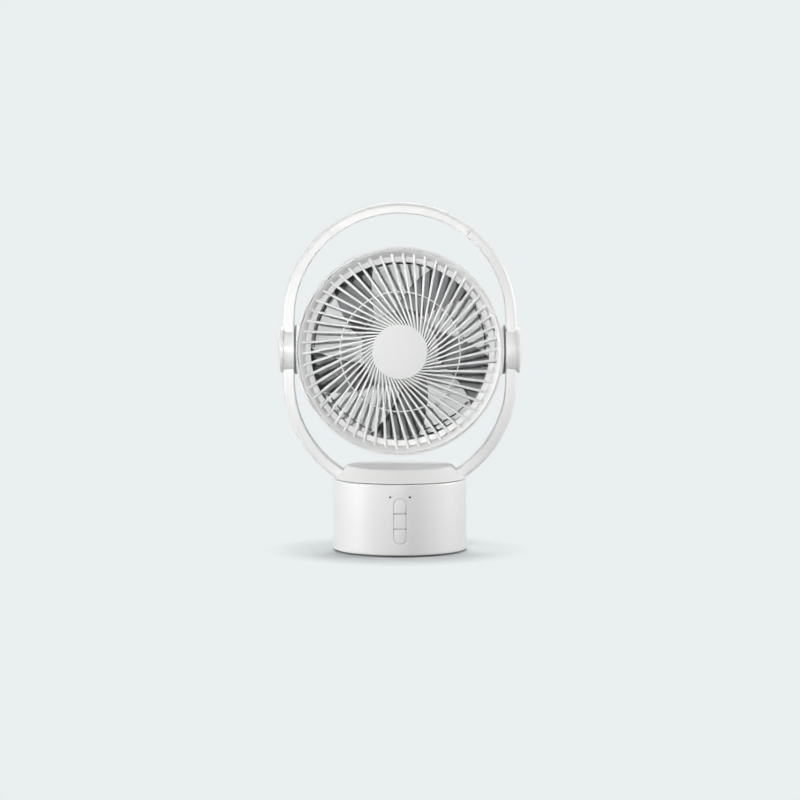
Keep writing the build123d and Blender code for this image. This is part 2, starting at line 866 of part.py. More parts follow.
def ring_hollow():
    """The hollow inside the ring's section."""
    low = ring_inner + ring_wall
    high = ring_outer - ring_wall
    half = ring_half_depth - ring_wall
    face = make_face(Polyline((low, -half), (high, -half), (high, half), (low, half), close=True))
    for y in (-half, half):
        face = fillet(corner(face, high, y), max(ring_outer_round - ring_wall, ring_wall / 2))
    return face


def ring_arc(face, centre, start, sweep):
    """A stretch of the ring, turned upwards about the middle of one of its arcs."""
    placed = Rot(0, -start, 0) * face
    return Pos(0, 0, centre) * revolve(placed, Axis((0, 0, 0), (0, -1, 0)), sweep)


def ring_side(face, upper_sweep, foot):
    """The ring's right side, from its foot to an angle on the upper arc."""
    side = ring_arc(face, lower_centre, -90, 90)
    side += Pos(0, 0, lower_centre) * extrude(face, ring_straight)
    if upper_sweep:
        side += ring_arc(face, upper_centre, 0, upper_sweep)
    reach = ring_outer + overrun
    return side - block((-reach, reach), (-ring_depth, ring_depth), (0, foot))


def ring_screw_places():
    """Screws on the ring's right side: under and over the hub, and on both arcs."""
    step = hub_radius + ring_screw_clear
    places = [(ring_middle, pivot_height - step), (ring_middle, pivot_height + step)]
    low = radians(ring_screw_low_angle)
    high = radians(ring_screw_high_angle)
    places.append((ring_middle * cos(low), lower_centre - ring_middle * sin(low)))
    places.append((ring_middle * cos(high), upper_centre + ring_middle * sin(high)))
    return places


def lamp_screw_place():
    angle = radians(lamp_start + lamp_screw_angle)
    return (ring_middle * cos(angle), upper_centre + ring_middle * sin(angle))


ring_screw_seat = ring_half_depth - ring_screw_recess
ring_screw_tip = ring_screw_seat - ring_screw_length
sleeve_radius = head_hole_radius + ring_sleeve_wall
tab_inner = sqrt(ring_inner**2 - (lower_centre - plate_top) ** 2) - tab_length


def arm_screw_places():
    """Screws through the tabs at the ring's four feet."""
    x = tab_inner + tab_length / 3
    y = ring_half_depth / 2
    return [(i * x, j * y) for i in (-1, 1) for j in (-1, 1)]


def foot_tab(near, far):
    """A tab inside the dome that fastens one foot of the ring to the plate."""
    reach = tab_inner + tab_length + ring_wall
    tab = block((tab_inner, reach), (near, far), (plate_top, plate_top + tab_thickness))
    return tab - [Pos(x, y) * post(hole_radius, plate_top - overrun, plate_top + overrun)
                  for x, y in arm_screw_places()]


def pivot_hub(near, far):
    """Half of the right pivot's hub, between two places along Y."""
    hub = bar_x(hub_radius, hub_in, hub_out, 0, pivot_height)
    hub = fillet(hub.edges().filter_by(GeomType.CIRCLE), hub_round)
    reach = hub_radius + overrun
    return hub & block(
        (hub_in, hub_out), (near, far), (pivot_height - reach, pivot_height + reach)
    )


def pivot_bores():
    bore = bar_x(trunnion_radius + running_gap, hub_in - overrun, hub_out + overrun, 0, pivot_height)
    return bore + bar_x(hub_recess_radius, hub_recess_floor, hub_out + overrun, 0, pivot_height)


def make_ring_front():
    """The front half shell of the ring's right side, up to the lamp."""
    arm = ring_side(ring_channel(ring_seam), lamp_start - degrees(ring_seam / ring_middle), ring_foot)
    arm += foot_tab(tab_set_in - ring_half_depth, -tab_set_in)
    arm += pivot_hub(-hub_radius - overrun, -ring_seam)
    bosses = [bar_y(screw_boss_radius, -ring_half_depth + ring_wall / 2, -ring_seam, x, z)
              for x, z in ring_screw_places()]
    pilots = [bar_y(pilot_radius, ring_screw_tip - fit_gap, 0, x, z) for x, z in ring_screw_places()]
    return arm + bosses - pilots - pivot_bores()


def make_lamp_diffuser():
    """The translucent front half of the ring's top arc."""
    lamp = ring_arc(ring_channel(ring_seam), upper_centre, lamp_start, 2 * lamp_half_angle)
    x, z = lamp_screw_place()
    lamp = lamp + both_sides(bar_y(screw_boss_radius, -ring_half_depth + ring_wall / 2, -ring_seam, x, z))
    return lamp - both_sides(bar_y(pilot_radius, ring_screw_tip - fit_gap, 0, x, z))


def make_ring_rear():
    """The rear half shell, from foot to foot in one piece."""
    side = ring_side(mirror(ring_channel(0), about=Plane.XZ), 90, ring_foot)
    side += foot_tab(tab_set_in, ring_half_depth - tab_set_in)
    side += pivot_hub(0, hub_radius + overrun)
    places = ring_screw_places() + [lamp_screw_place()]
    sleeves = [bar_y(sleeve_radius, 0, ring_half_depth - ring_wall / 2, x, z) for x, z in places]
    holes = [bar_y(hole_radius, -overrun, ring_depth, x, z) for x, z in places]
    heads = [bar_y(head_hole_radius, ring_screw_seat, ring_depth, x, z) for x, z in places]
    side = side + sleeves - holes - heads - pivot_bores()
    return Part() + both_sides(side)


def make_ring_screws():
    turn = Rot(90, 0, 0)
    places = ring_screw_places() + [lamp_screw_place()]
    screws = [Pos(x, ring_screw_seat, z) * turn * screw(ring_screw_length) for x, z in places]
    return group([copy for one in screws for copy in both_sides(one)])


def make_arm_screws():
    turn = Rot(180, 0, 0)
    seat = plate_top + tab_thickness
    return group([Pos(x, y, seat) * turn * screw(arm_screw_length) for x, y in arm_screw_places()])


lamp_board_back = ring_half_depth - ring_wall - lamp_board_stand
lamp_board_front = lamp_board_back - lamp_board_thickness
lamp_board_half = lamp_half_angle - lamp_board_angle


def make_lamp_board():
    low = ring_middle - lamp_board_width / 2
    high = ring_middle + lamp_board_width / 2
    strip = make_face(Polyline(
        (low, lamp_board_front), (high, lamp_board_front),
        (high, lamp_board_back), (low, lamp_board_back), close=True,
    ))
    return ring_arc(strip, upper_centre, 90 - lamp_board_half, 2 * lamp_board_half)


def make_lamp_leds():
    half = lamp_led_width / 2
    chip = block(
        (ring_middle - half, ring_middle + half), (lamp_board_front - lamp_led_height, lamp_board_front),
        (-half, half),
    )
    step = 2 * lamp_board_half / lamp_led_count
    turns = [90 - lamp_board_half + step * (i + 1 / 2) for i in range(lamp_led_count)]
    return group([Pos(0, 0, upper_centre) * Rot(0, -turn, 0) * chip for turn in turns])


# Tilt pivots

def make_pivot_caps():
    rim = hub_out + cap_edge
    top = rim + cap_dome
    half = cap_radius
    profile = make_face([
        Line((hub_out, 0), (hub_out, half)),
        Line((hub_out, half), (rim, half)),
        ThreePointArc((rim, half), (top - crown_drop(half, cap_dome), half / 2), (top, 0)),
        Line((top, 0), (hub_out, 0)),
    ])
    profile = fillet(corner(profile, rim, half), cap_round)
    cap = revolve(profile, Axis.X)
    spigot = bar_x(hub_recess_radius - fit_gap, hub_out - cap_spigot, hub_out)
    spigot -= bar_x(hub_recess_radius - fit_gap - cap_spigot_wall, hub_out - cap_spigot, hub_out)
    return group([HEAD * piece for piece in both_sides(cap + spigot)])


def make_friction_washers():
    face = hub_in - moving_gap
    washer = bar_x(pad_radius, pad_face, face) - bar_x(trunnion_radius + fit_gap, pad_face, face)
    return group([HEAD * piece for piece in both_sides(washer)])


def trunnion_screw_spots():
    """Screw places round the trunnion's own axis."""
    turns = [radians(90 + 360 * i / trunnion_screw_count) for i in range(trunnion_screw_count)]
    return [(trunnion_screw_circle * cos(turn), trunnion_screw_circle * sin(turn)) for turn in turns]


def make_trunnion():
    """The right trunnion: a pin with a flange inside the drum."""
    pin = bar_x(trunnion_radius, pad_inner, trunnion_end)
    pin += bar_x(trunnion_flange_radius, pad_inner - trunnion_flange_thickness, pad_inner)
    pin -= bar_x(pilot_radius, trunnion_end - pivot_screw_length - fit_gap, trunnion_end + overrun)
    holes = [bar_x(hole_radius, pad_inner - overrun, pad_inner + overrun, y, z)
             for y, z in trunnion_screw_spots()]
    return HEAD * (pin - holes)


def make_trunnion_screws():
    seat = pad_inner - trunnion_flange_thickness
    turn = Rot(0, 90, 0)
    screws = [Pos(seat, y, z) * turn * screw(trunnion_screw_length) for y, z in trunnion_screw_spots()]
    return group([HEAD * copy for one in screws for copy in both_sides(one)])


def make_pivot_washers():
    end = trunnion_end + pivot_washer_thickness
    washer = bar_x(pivot_washer_radius, trunnion_end, end) - bar_x(hole_radius, trunnion_end, end)
    return group([HEAD * piece for piece in both_sides(washer)])


def make_pivot_screws():
    seat = trunnion_end + pivot_washer_thickness
    one = Pos(seat) * Rot(0, -90, 0) * screw(pivot_screw_length)
    return group([HEAD * piece for piece in both_sides(one)])


# Head

def make_head_shell():
    wall = make_face(Polyline(
        (lip_inner, lip_y), (head_radius, lip_y), (head_radius, head_rear),
        (head_inner, head_rear), (head_inner, ledge_y), (lip_inner, ledge_y), close=True,
    ))
    wall = fillet(corner(wall, head_radius, lip_y), min(lip_round, lip_wall * 3 / 4))
    drum = revolve(wall, Axis.Y)
    drum -= spun([
        (lip_inner - snap_bead, snap_y - snap_bead), (lip_inner, snap_y - snap_bead),
        (lip_inner + snap_bead, snap_y), (lip_inner, snap_y + snap_bead),
        (lip_inner - snap_bead, snap_y + snap_bead),
    ])
    drum = drum + both_sides(bar_x(pad_radius, pad_inner, pad_face))
    boss = bar_y(screw_boss_radius, head_rear - guard_boss_length, head_rear, guard_boss_circle)
    drum = drum + around_head(boss, guard_screw_count, 30)
    pilot = bar_y(pilot_radius, head_rear - guard_boss_length, head_rear + overrun, guard_boss_circle)
    drum -= around_head(pilot, guard_screw_count, 30)
    drum -= both_sides(bar_x(trunnion_radius + running_gap, pad_inner - overrun, pad_face + overrun))
    screw_end = pad_inner + trunnion_screw_length - trunnion_flange_thickness + fit_gap
    holes = [bar_x(pilot_radius, pad_inner - overrun, screw_end, y, z) for y, z in trunnion_screw_spots()]
    return HEAD * (drum - [copy for hole in holes for copy in both_sides(hole)])


def rib_gaps(start, end):
    """The openings between neighbouring ribs, which slant past the middle of the grille."""
    rim = throat_radius

    def edge_point(radius, side, turn):
        """Where one edge of a tapering rib crosses a circle, as x and z."""
        along_hub = sqrt(grille_hub_radius**2 - rib_offset**2)
        along_rim = sqrt(rim**2 - rib_offset**2)
        across_hub = rib_offset + side * rib_hub_width / 2
        across_rim = rib_offset + side * rib_rim_width / 2
        slope = (across_rim - across_hub) / (along_rim - along_hub)
        shift = across_hub - slope * along_hub
        along = (-slope * shift + sqrt(radius**2 * (1 + slope**2) - shift**2)) / (1 + slope**2)
        across = shift + slope * along
        angle = turn + atan2(along, across)
        return (radius * cos(angle), radius * sin(angle))

    def arc(first, last, radius):
        middle = Vector(*first) + Vector(*last)
        middle = middle.normalized() * radius
        return ThreePointArc(first, (middle.X, middle.Y), last)

    step = 2 * pi / rib_count
    inner_near = edge_point(grille_hub_radius, -1, 0)
    outer_near = edge_point(rim, -1, 0)
    outer_far = edge_point(rim, 1, step)
    inner_far = edge_point(grille_hub_radius, 1, step)
    outline = make_face([
        Line(inner_near, outer_near), arc(outer_near, outer_far, rim),
        Line(outer_far, inner_far), arc(inner_far, inner_near, grille_hub_radius),
    ])
    plane = Plane((0, end, 0), x_dir=(1, 0, 0), z_dir=(0, -1, 0))
    gap = extrude(plane * outline, end - start)
    first_turn = degrees(acos(rib_offset / rim))
    return around_head(gap, rib_count, 90 + rib_angle - first_turn)


def make_front_grille():
    bezel = spun([
        (bezel_radius, bezel_y), (bezel_radius, snap_y - snap_bead), (bezel_radius + snap_bead, snap_y),
        (bezel_radius, snap_y + snap_bead), (bezel_radius, ledge_y), (head_inner - fit_gap, ledge_y),
        (throat_radius + collar_wall, throat_y + collar_wall),
        (collar_radius + collar_wall, collar_y), (collar_radius + collar_wall, shroud_y),
        (collar_radius, shroud_y), (collar_radius, collar_y), (throat_radius, throat_y),
    ])
    hub_y = throat_y - grille_crown
    rim = throat_radius + collar_wall / 2
    sag = grille_crown / 4
    half_way = (grille_hub_radius + rim) / 2
    crown = make_face([
        Line((0, hub_y), (grille_hub_radius, hub_y)),
        ThreePointArc((grille_hub_radius, hub_y), (half_way, hub_y + sag), (rim, throat_y)),
        Line((rim, throat_y), (rim, throat_y + rib_depth)),
        ThreePointArc(
            (rim, throat_y + rib_depth), (half_way, hub_y + sag + rib_depth),
            (grille_hub_radius, hub_y + rib_depth),
        ),
        Line((grille_hub_radius, hub_y + rib_depth), (0, hub_y + rib_depth)),
        Line((0, hub_y + rib_depth), (0, hub_y)),
    ])
    ribs = revolve(crown, Axis.Y)
    ribs -= rib_gaps(hub_y - overrun, throat_y + rib_depth + overrun)
    mid_back = throat_y + rib_depth - grille_crown * (1 - (mid_ring_radius / rim) ** 2)
    mid_low = mid_ring_radius - mid_ring_width / 2
    mid_ring = tube_y(mid_low + mid_ring_width, mid_low, mid_back - mid_ring_depth, mid_back)
    slope = atan2(throat_y - bezel_y, bezel_radius - throat_radius)
    key_length = hypot(throat_y - bezel_y, bezel_radius - throat_radius)
    key = Pos((bezel_radius + throat_radius) / 2, (bezel_y + throat_y) / 2) * Rot(0, 0, -degrees(slope))
    key = key * Box(key_length - key_width, 2 * key_height, key_width)
    peg_hole = bar_y(hub_cap_peg_radius + fit_gap / 2, hub_y - overrun, hub_y + overrun)
    return HEAD * (bezel + ribs + mid_ring + Rot(0, -90, 0) * key - peg_hole)


def make_hub_cap():
    back = throat_y - grille_crown
    edge = back - hub_cap_edge
    top = edge - hub_cap_crown
    half_way = (hub_cap_radius / 2, top + crown_drop(hub_cap_radius, hub_cap_crown))
    profile = make_face([
        Line((0, back), (hub_cap_radius, back)),
        Line((hub_cap_radius, back), (hub_cap_radius, edge)),
        ThreePointArc((hub_cap_radius, edge), half_way, (0, top)),
        Line((0, top), (0, back)),
    ])
    profile = fillet(corner(profile, hub_cap_radius, edge), hub_cap_edge / 2)
    return HEAD * (revolve(profile, Axis.Y) + bar_y(hub_cap_peg_radius, back, back + rib_depth))


def make_rear_guard():
    shoulder_radius = head_radius - guard_shoulder
    bowl = [
        (head_radius, head_rear), (head_radius, head_rear + guard_wall), (shoulder_radius, guard_y),
        (0, guard_y), (0, head_rear),
    ]
    envelope = make_face(Polyline(*bowl, close=True))
    envelope = fillet(corner(envelope, head_radius, head_rear + guard_wall), guard_edge_round * 2)
    envelope = fillet(corner(envelope, shoulder_radius, guard_y), guard_edge_round)
    envelope = revolve(envelope, Axis.Y)
    hollow = spun([
        (0, head_rear - overrun), (head_inner, head_rear - overrun), (head_inner, head_rear + guard_wall),
        (shoulder_radius - guard_wall / 2, guard_y - guard_wall), (0, guard_y - guard_wall),
    ])
    shell = envelope - hollow
    column = bar_y(screw_boss_radius + screw_boss_wall, head_rear, guard_y, guard_boss_circle) & envelope
    shell = shell + around_head(column, guard_screw_count, 30)
    shell -= bar_y(guard_ring_radius, head_rear - overrun, guard_y + overrun)
    shell = shell + louvres() + struts() + motor_cup()
    seat = head_rear + guard_column_height
    hole = bar_y(hole_radius, head_rear - overrun, seat + overrun, guard_boss_circle)
    hole += bar_y(head_hole_radius, seat, guard_y + overrun, guard_boss_circle)
    return HEAD * (shell - around_head(hole, guard_screw_count, 30))


def louvres():
    """Slanted rings that overlap each other, so that nothing shows straight through."""
    pitch = (guard_ring_radius - guard_cup_radius) / louvre_count
    rings = []
    for i in range(louvre_count):
        low = guard_cup_radius + pitch * i
        high = low + pitch * (1 + louvre_overlap_share)
        rings.append(spun([
            (low, louvre_front), (high, guard_y - louvre_wall), (high, guard_y),
            (high - louvre_wall, guard_y), (low, louvre_front + louvre_wall),
        ]))
    return rings


def struts():
    strut = block(
        (guard_cup_radius - louvre_wall, guard_ring_radius + louvre_wall), (guard_y - strut_depth, guard_y),
        (-strut_width / 2, strut_width / 2),
    )
    return around_head(strut, strut_count, 180 / strut_count)


def motor_cup():
    """The closed middle of the rear guard, with the motor's pedestal and bearing tube."""
    inner = guard_cup_radius - guard_wall
    cup = spun([
        (0, cup_y), (guard_cup_radius - guard_cup_taper, cup_y), (guard_cup_radius, guard_y),
        (guard_cup_radius, louvre_front), (inner, louvre_front), (inner, guard_y),
        (inner - guard_cup_taper, cup_floor), (0, cup_floor),
    ])
    root = cup_floor + guard_wall / 2
    bearing_tube = bar_y(stator_bore - running_gap, bearing_front, root)
    inside = motor_board_radius - pedestal_wall
    pedestal = tube_y(motor_board_radius, inside, motor_board_y + board_thickness, root)
    cup = cup + bearing_tube + pedestal
    return cup - bar_y(bearing_radius + running_gap, bearing_front - overrun, cup_floor)


def make_guard_screws():
    turn = Rot(90, 0, 0)
    one = Pos(guard_boss_circle, head_rear + guard_column_height) * turn * screw(guard_screw_length)
    return group([HEAD * copy for copy in around_head(one, guard_screw_count, 30)])


# Fan motor

stator_low = stator_middle - stator_height / 2
stator_high = stator_middle + stator_height / 2


def make_stator_core():
    hub_radius_out = stator_bore + stator_hub_wall
    core = bar_y(hub_radius_out, stator_low, stator_high)
    half = stator_tooth_width / 2
    tooth = block((0, stator_radius - stator_shoe / 2), (stator_low, stator_high), (-half, half))
    core = core + around_head(tooth, stator_teeth)
    slot = degrees(2 * pi / stator_teeth) * stator_shoe_share
    shoe = make_face(Polyline(
        (stator_radius - stator_shoe, stator_low), (stator_radius, stator_low),
        (stator_radius, stator_high), (stator_radius - stator_shoe, stator_high), close=True,
    ))
    shoe = revolve(Rot(0, slot / 2, 0) * shoe, Axis((0, 0, 0), (0, -1, 0)), slot)
    core = core + around_head(shoe, stator_teeth)
    return HEAD * (core - bar_y(stator_bore, stator_low - overrun, stator_high + overrun))


def make_stator_windings():
    low = stator_bore + stator_hub_wall + winding_build
    half = stator_tooth_width / 2
    high = sqrt((stator_radius - stator_shoe) ** 2 - (half + winding_build) ** 2) - fit_gap
    coil = block(
        (low, high), (stator_low - winding_build, stator_high + winding_build),
        (-half - winding_build, half + winding_build),
    )
    coil = fillet(coil.edges().filter_by(Axis.X), winding_build * 3 / 4)
    coil -= block(
        (0, high + overrun), (stator_low - running_gap, stator_high + running_gap),
        (-half - running_gap, half + running_gap),
    )
    return group([HEAD * copy for copy in around_head(coil, stator_teeth)])


def make_motor_board():
    back = motor_board_y + board_thickness
    return HEAD * tube_y(motor_board_radius, stator_bore + fit_gap, motor_board_y, back)


def make_motor_bearings():
    rear = shaft_clip_y - fit_gap - bearing_bush_length
    bushes = [tube_y(bearing_radius, shaft_radius + running_gap, y, y + bearing_bush_length)
              for y in (bearing_front, rear)]
    return group([HEAD * bush for bush in bushes])


def make_rotor_cup():
    cup = bar_y(rotor_outer, rotor_front, rotor_rear)
    cup = fillet(cup.edges().sort_by(Axis.Y)[0], rotor_wall)
    cup -= bar_y(rotor_inner, rotor_front + rotor_wall, rotor_rear + overrun)
    return HEAD * (cup - bar_y(shaft_radius + running_gap, rotor_front - overrun, rotor_rear))


def make_rotor_magnet():
    low = stator_middle - magnet_height / 2
    return HEAD * tube_y(magnet_outer, magnet_inner, low, low + magnet_height)


def make_motor_shaft():
    shaft = bar_y(shaft_radius, impeller_front + impeller_face / 2, shaft_end)
    groove = tube_y(
        shaft_radius + overrun, shaft_radius - shaft_clip_width / 2,
        shaft_clip_y - running_gap, shaft_clip_y + shaft_clip_thickness + running_gap,
    )
    return HEAD * (shaft - groove)


def make_shaft_clip():
    inner = shaft_radius - shaft_clip_width / 2 + running_gap
    outer = inner + shaft_clip_width
    return HEAD * tube_y(outer, inner, shaft_clip_y, shaft_clip_y + shaft_clip_thickness)


# Impeller

def blade_section(radius, half_width, sweep, pitch, thickness):
    """One cambered section of a blade, square to a radius of the fan."""
    turn = radians(sweep)
    slant = radians(pitch)
    outward = Vector(cos(turn), 0, sin(turn))
    forward = Vector(-sin(turn) * cos(slant), -sin(slant), cos(turn) * cos(slant))
    half_chord = half_width / cos(slant)
    camber = 2 * half_chord * blade_camber_share
    half = thickness / 2
    edge = half / 2
    outline = make_face([
        ThreePointArc((-half_chord, edge), (0, half - camber), (half_chord, edge)),
        Line((half_chord, edge), (half_chord, -edge)),
        ThreePointArc((half_chord, -edge), (0, -half - camber), (-half_chord, -edge)),
        Line((-half_chord, -edge), (-half_chord, edge)),
    ])
    place = outward * radius + Vector(0, blade_middle, 0)
    return Plane(place, x_dir=forward, z_dir=outward) * outline


def blade_body(outer, inner, width_share, thickness):
    """A swept and twisted blade between two radii."""
    rows = zip(blade_radius_shares, blade_half_width_shares, blade_sweeps, blade_pitches)
    sections = [
        blade_section(
            radius * blade_tip_radius, width * width_share * blade_tip_radius, blade_tip_angle + sweep,
            pitch, thickness,
        )
        for radius, width, sweep, pitch in rows
    ]
    reach = impeller_hub_depth + overrun
    return loft(sections) & tube_y(outer, inner, blade_middle - reach, blade_middle + reach)


def make_blade():
    """One blade, with a slot along its tip."""
    blade = blade_body(blade_tip_radius, impeller_hub_radius - impeller_hub_wall / 2, 1, blade_thickness)
    slot = blade_tip_radius - blade_slot_set_in
    return blade - blade_body(slot, slot - blade_slot_width, blade_slot_share, 3 * blade_thickness)


def make_impeller():
    hub = bar_y(impeller_hub_radius, impeller_front, impeller_rear)
    hub = fillet(hub.edges().sort_by(Axis.Y)[0], impeller_round)
    cavity = bar_y(
        impeller_hub_radius - impeller_hub_wall, impeller_front + impeller_face, impeller_rear + overrun
    )
    cavity = fillet(cavity.edges().sort_by(Axis.Y)[0], impeller_round - impeller_hub_wall)
    hub -= cavity
    back = impeller_front + impeller_face
    hub += tube_y(
        rotor_outer + running_gap + impeller_seat_wall, rotor_outer + running_gap,
        back - impeller_face / 2, back + impeller_seat_depth,
    )
    shaft_hole = bar_y(
        shaft_radius + running_gap, impeller_front + impeller_face / 2 - running_gap, impeller_rear
    )
    pegs = impeller_pegs(
        impeller_peg_radius + running_gap, impeller_front - overrun, impeller_front + impeller_face + overrun
    )
    return HEAD * (hub + around_head(make_blade(), blade_count) - shaft_hole - pegs)


def impeller_pegs(radius, front, back):
    """Pegs that hold the disc on the impeller's hub."""
    return around_head(bar_y(radius, front, back, impeller_peg_circle), impeller_peg_count)


def make_impeller_cap():
    """The disc over the impeller's hub."""
    back = impeller_front - running_gap
    front = back - impeller_cap_thickness
    disc = bar_y(impeller_hub_radius + impeller_cap_overhang, front, back)
    disc = fillet(disc.edges().sort_by(Axis.Y)[0], impeller_cap_round)
    pegs = impeller_pegs(
        impeller_peg_radius, back - impeller_cap_thickness / 2, impeller_front + impeller_face / 2
    )
    return HEAD * (disc + pegs)


buttons = dict(zip(("light_button", "swing_button", "fan_button"), button_heights()))
ring_front = make_ring_front()
trunnion = make_trunnion()

nodes = {
    "base_shell": make_base_shell(),
    "base_bottom": make_base_bottom(),
    "rubber_feet": make_rubber_feet(),
    "case_screws": make_case_screws(),
    "battery_tray": make_battery_tray(),
    "battery_cells": make_battery_cells(),
    "control_board": make_control_board(),
    "button_switches": make_button_switches(),
    "indicator_leds": make_indicator_leds(),
    "indicator_lenses": make_indicator_lenses(),
    "charge_board": make_charge_board(),
    "charge_socket": make_charge_socket(),
    "swing_motor": make_swing_motor(),
    "motor_screws": make_motor_screws(),
    "thrust_washer": make_thrust_washer(),
    "swing_shaft": make_swing_shaft(),
    "swing_pinion": make_swing_pinion(),
    "swing_gear": make_swing_gear(),
    "turntable_plate": make_turntable_plate(),
    "spindle_clip": make_spindle_clip(),
    "turntable_cover": make_turntable_cover(),
    "cover_screws": make_cover_screws(),
    "ring_front_right": ring_front,
    "ring_front_left": mirror(ring_front, about=Plane.YZ),
    "ring_rear": make_ring_rear(),
    "ring_screws": make_ring_screws(),
    "arm_screws": make_arm_screws(),
    "lamp_diffuser": make_lamp_diffuser(),
    "lamp_board": make_lamp_board(),
    "lamp_leds": make_lamp_leds(),
    "pivot_caps": make_pivot_caps(),
    "friction_washers": make_friction_washers(),
    "trunnion_right": trunnion,
    "trunnion_left": mirror(trunnion, about=Plane.YZ),
    "trunnion_screws": make_trunnion_screws(),
    "pivot_washers": make_pivot_washers(),
    "pivot_screws": make_pivot_screws(),
    "head_shell": make_head_shell(),
    "front_grille": make_front_grille(),
    "hub_cap": make_hub_cap(),
    "rear_guard": make_rear_guard(),
    "guard_screws": make_guard_screws(),
    "stator_core": make_stator_core(),
    "stator_windings": make_stator_windings(),
    "motor_board": make_motor_board(),
    "motor_bearings": make_motor_bearings(),
    "rotor_cup": make_rotor_cup(),
    "rotor_magnet": make_rotor_magnet(),
    "motor_shaft": make_motor_shaft(),
    "shaft_clip": make_shaft_clip(),
    "impeller": make_impeller(),
    "impeller_cap": make_impeller_cap(),
}
nodes.update({name: make_button(low) for name, low in buttons.items()})

os.makedirs("parts", exist_ok=True)
for name, shape in nodes.items():
    export_step(shape, f"parts/{name}.step")

print(f"tilt axis at {pivot_height:.2f}, swing shaft at {drive_distance:.2f}")
print(f"ring {ring_inner:.2f} to {ring_outer:.2f}, top at {upper_centre + ring_outer:.2f}")
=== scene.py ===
import json
from math import atan, atan2, cos, hypot, pi, radians, remainder, sin, sqrt, tan
from typing import NamedTuple

import bmesh
import bpy
from bpy.props import FloatProperty, FloatVectorProperty, IntProperty, PointerProperty
from mathutils import Matrix, Vector


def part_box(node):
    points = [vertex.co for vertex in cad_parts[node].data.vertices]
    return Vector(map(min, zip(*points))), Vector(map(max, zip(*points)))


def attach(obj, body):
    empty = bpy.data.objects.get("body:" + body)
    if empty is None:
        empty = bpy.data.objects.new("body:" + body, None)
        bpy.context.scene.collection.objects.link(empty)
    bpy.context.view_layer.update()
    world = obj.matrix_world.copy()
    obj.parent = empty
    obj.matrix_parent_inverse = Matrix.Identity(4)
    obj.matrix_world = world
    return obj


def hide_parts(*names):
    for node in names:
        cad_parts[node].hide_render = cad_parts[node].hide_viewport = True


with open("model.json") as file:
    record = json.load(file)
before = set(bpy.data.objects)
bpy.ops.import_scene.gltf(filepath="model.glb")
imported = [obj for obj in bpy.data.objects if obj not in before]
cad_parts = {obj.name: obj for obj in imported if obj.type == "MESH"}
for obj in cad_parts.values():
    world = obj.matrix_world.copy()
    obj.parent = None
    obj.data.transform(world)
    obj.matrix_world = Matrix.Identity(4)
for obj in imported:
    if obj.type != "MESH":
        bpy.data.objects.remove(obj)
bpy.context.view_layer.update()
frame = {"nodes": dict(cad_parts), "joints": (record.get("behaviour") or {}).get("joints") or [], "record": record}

bl_info = {
    "name": "Ring Handle Fan",
    "version": (1, 0, 0),
    "blender": (4, 5, 0),
    "location": "View3D > Sidebar > Fan",
    "description": "Dresses a packed table fan with modelled shells, a ribbed grille and moulded finishes",
    "category": "Object",
}

MM = 0.001
PIVOT = next(joint for joint in frame["joints"] if joint["name"] == "head_tilt")["pos_m"][2]
BASE_LOW, BASE_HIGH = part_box("base_shell")
HEAD_LOW, HEAD_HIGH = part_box("head_shell")
ROTOR_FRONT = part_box("rotor_cup")[0].y
CAP_LOW, CAP_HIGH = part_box("hub_cap")
SLOTS = {part["node"]: part["material_slot"] for part in frame["record"]["subparts"]}

# What is turned for the head has its local Z rearwards, on a line through the tilt axis.
HEAD_AXIS = Matrix.Translation((0, 0, PIVOT)) @ Matrix.Rotation(radians(-90), 4, "X")


def linear(code):
    """A linear colour from an sRGB hex value."""
    channels = [int(code[i:i + 2], 16) / 255 for i in (1, 3, 5)]
    return tuple(c / 12.92 if c <= 0.04045 else ((c + 0.055) / 1.055) ** 2.4 for c in channels)


def length(name, text, millimetres):
    """A size that the panel shows."""
    return FloatProperty(
        name=name, description=text, default=millimetres * MM, unit="LENGTH", precision=5
    )


def whole(name, text, value, low, high):
    """A count that the panel shows."""
    return IntProperty(name=name, description=text, default=value, min=low, max=high)


def degrees(name, text, value):
    """An angle that the panel shows."""
    return FloatProperty(name=name, description=text, default=radians(value), subtype="ANGLE")


def colour(name, text, code):
    """A colour that the panel shows."""
    return FloatVectorProperty(
        name=name, description=text, default=linear(code), subtype="COLOR", size=3, min=0, max=1
    )


class FanBaseSettings(bpy.types.PropertyGroup):
    """Sizes of the drum and its buttons."""

    wall: length("Wall", "Thickness of the drum's wall", 2.4)
    deck: length("Deck", "Thickness of the drum's deck", 2.5)
    rim_round: length("Rim Round", "Radius of the drum's upper rim", 1.6)
    lower_round: length("Lower Round", "Radius of the drum's lower edge", 1.8)
    bore: length("Spindle Bore", "Radius of the bore in the deck", 12.05)
    soft_edge: length("Soft Edge", "Rounding of the openings and of the buttons", 0.4)
    button_width: length("Button Width", "Width of the upright opening", 12.4)
    button_height: length("Button Height", "Height of one button's share of the opening", 15.0)
    button_bottom: length("Button Bottom", "Lower end of the opening over the floor", 13.2)
    button_gap: length("Button Gap", "Gap round each button", 0.25)
    button_depth: length("Button Depth", "How far a button's sides reach inwards", 5.0)
    button_corner: length("Button Corner", "Radius of the corners where two buttons meet", 0.9)
    button_count: whole("Buttons", "Buttons in the opening", 3, 1, 3)


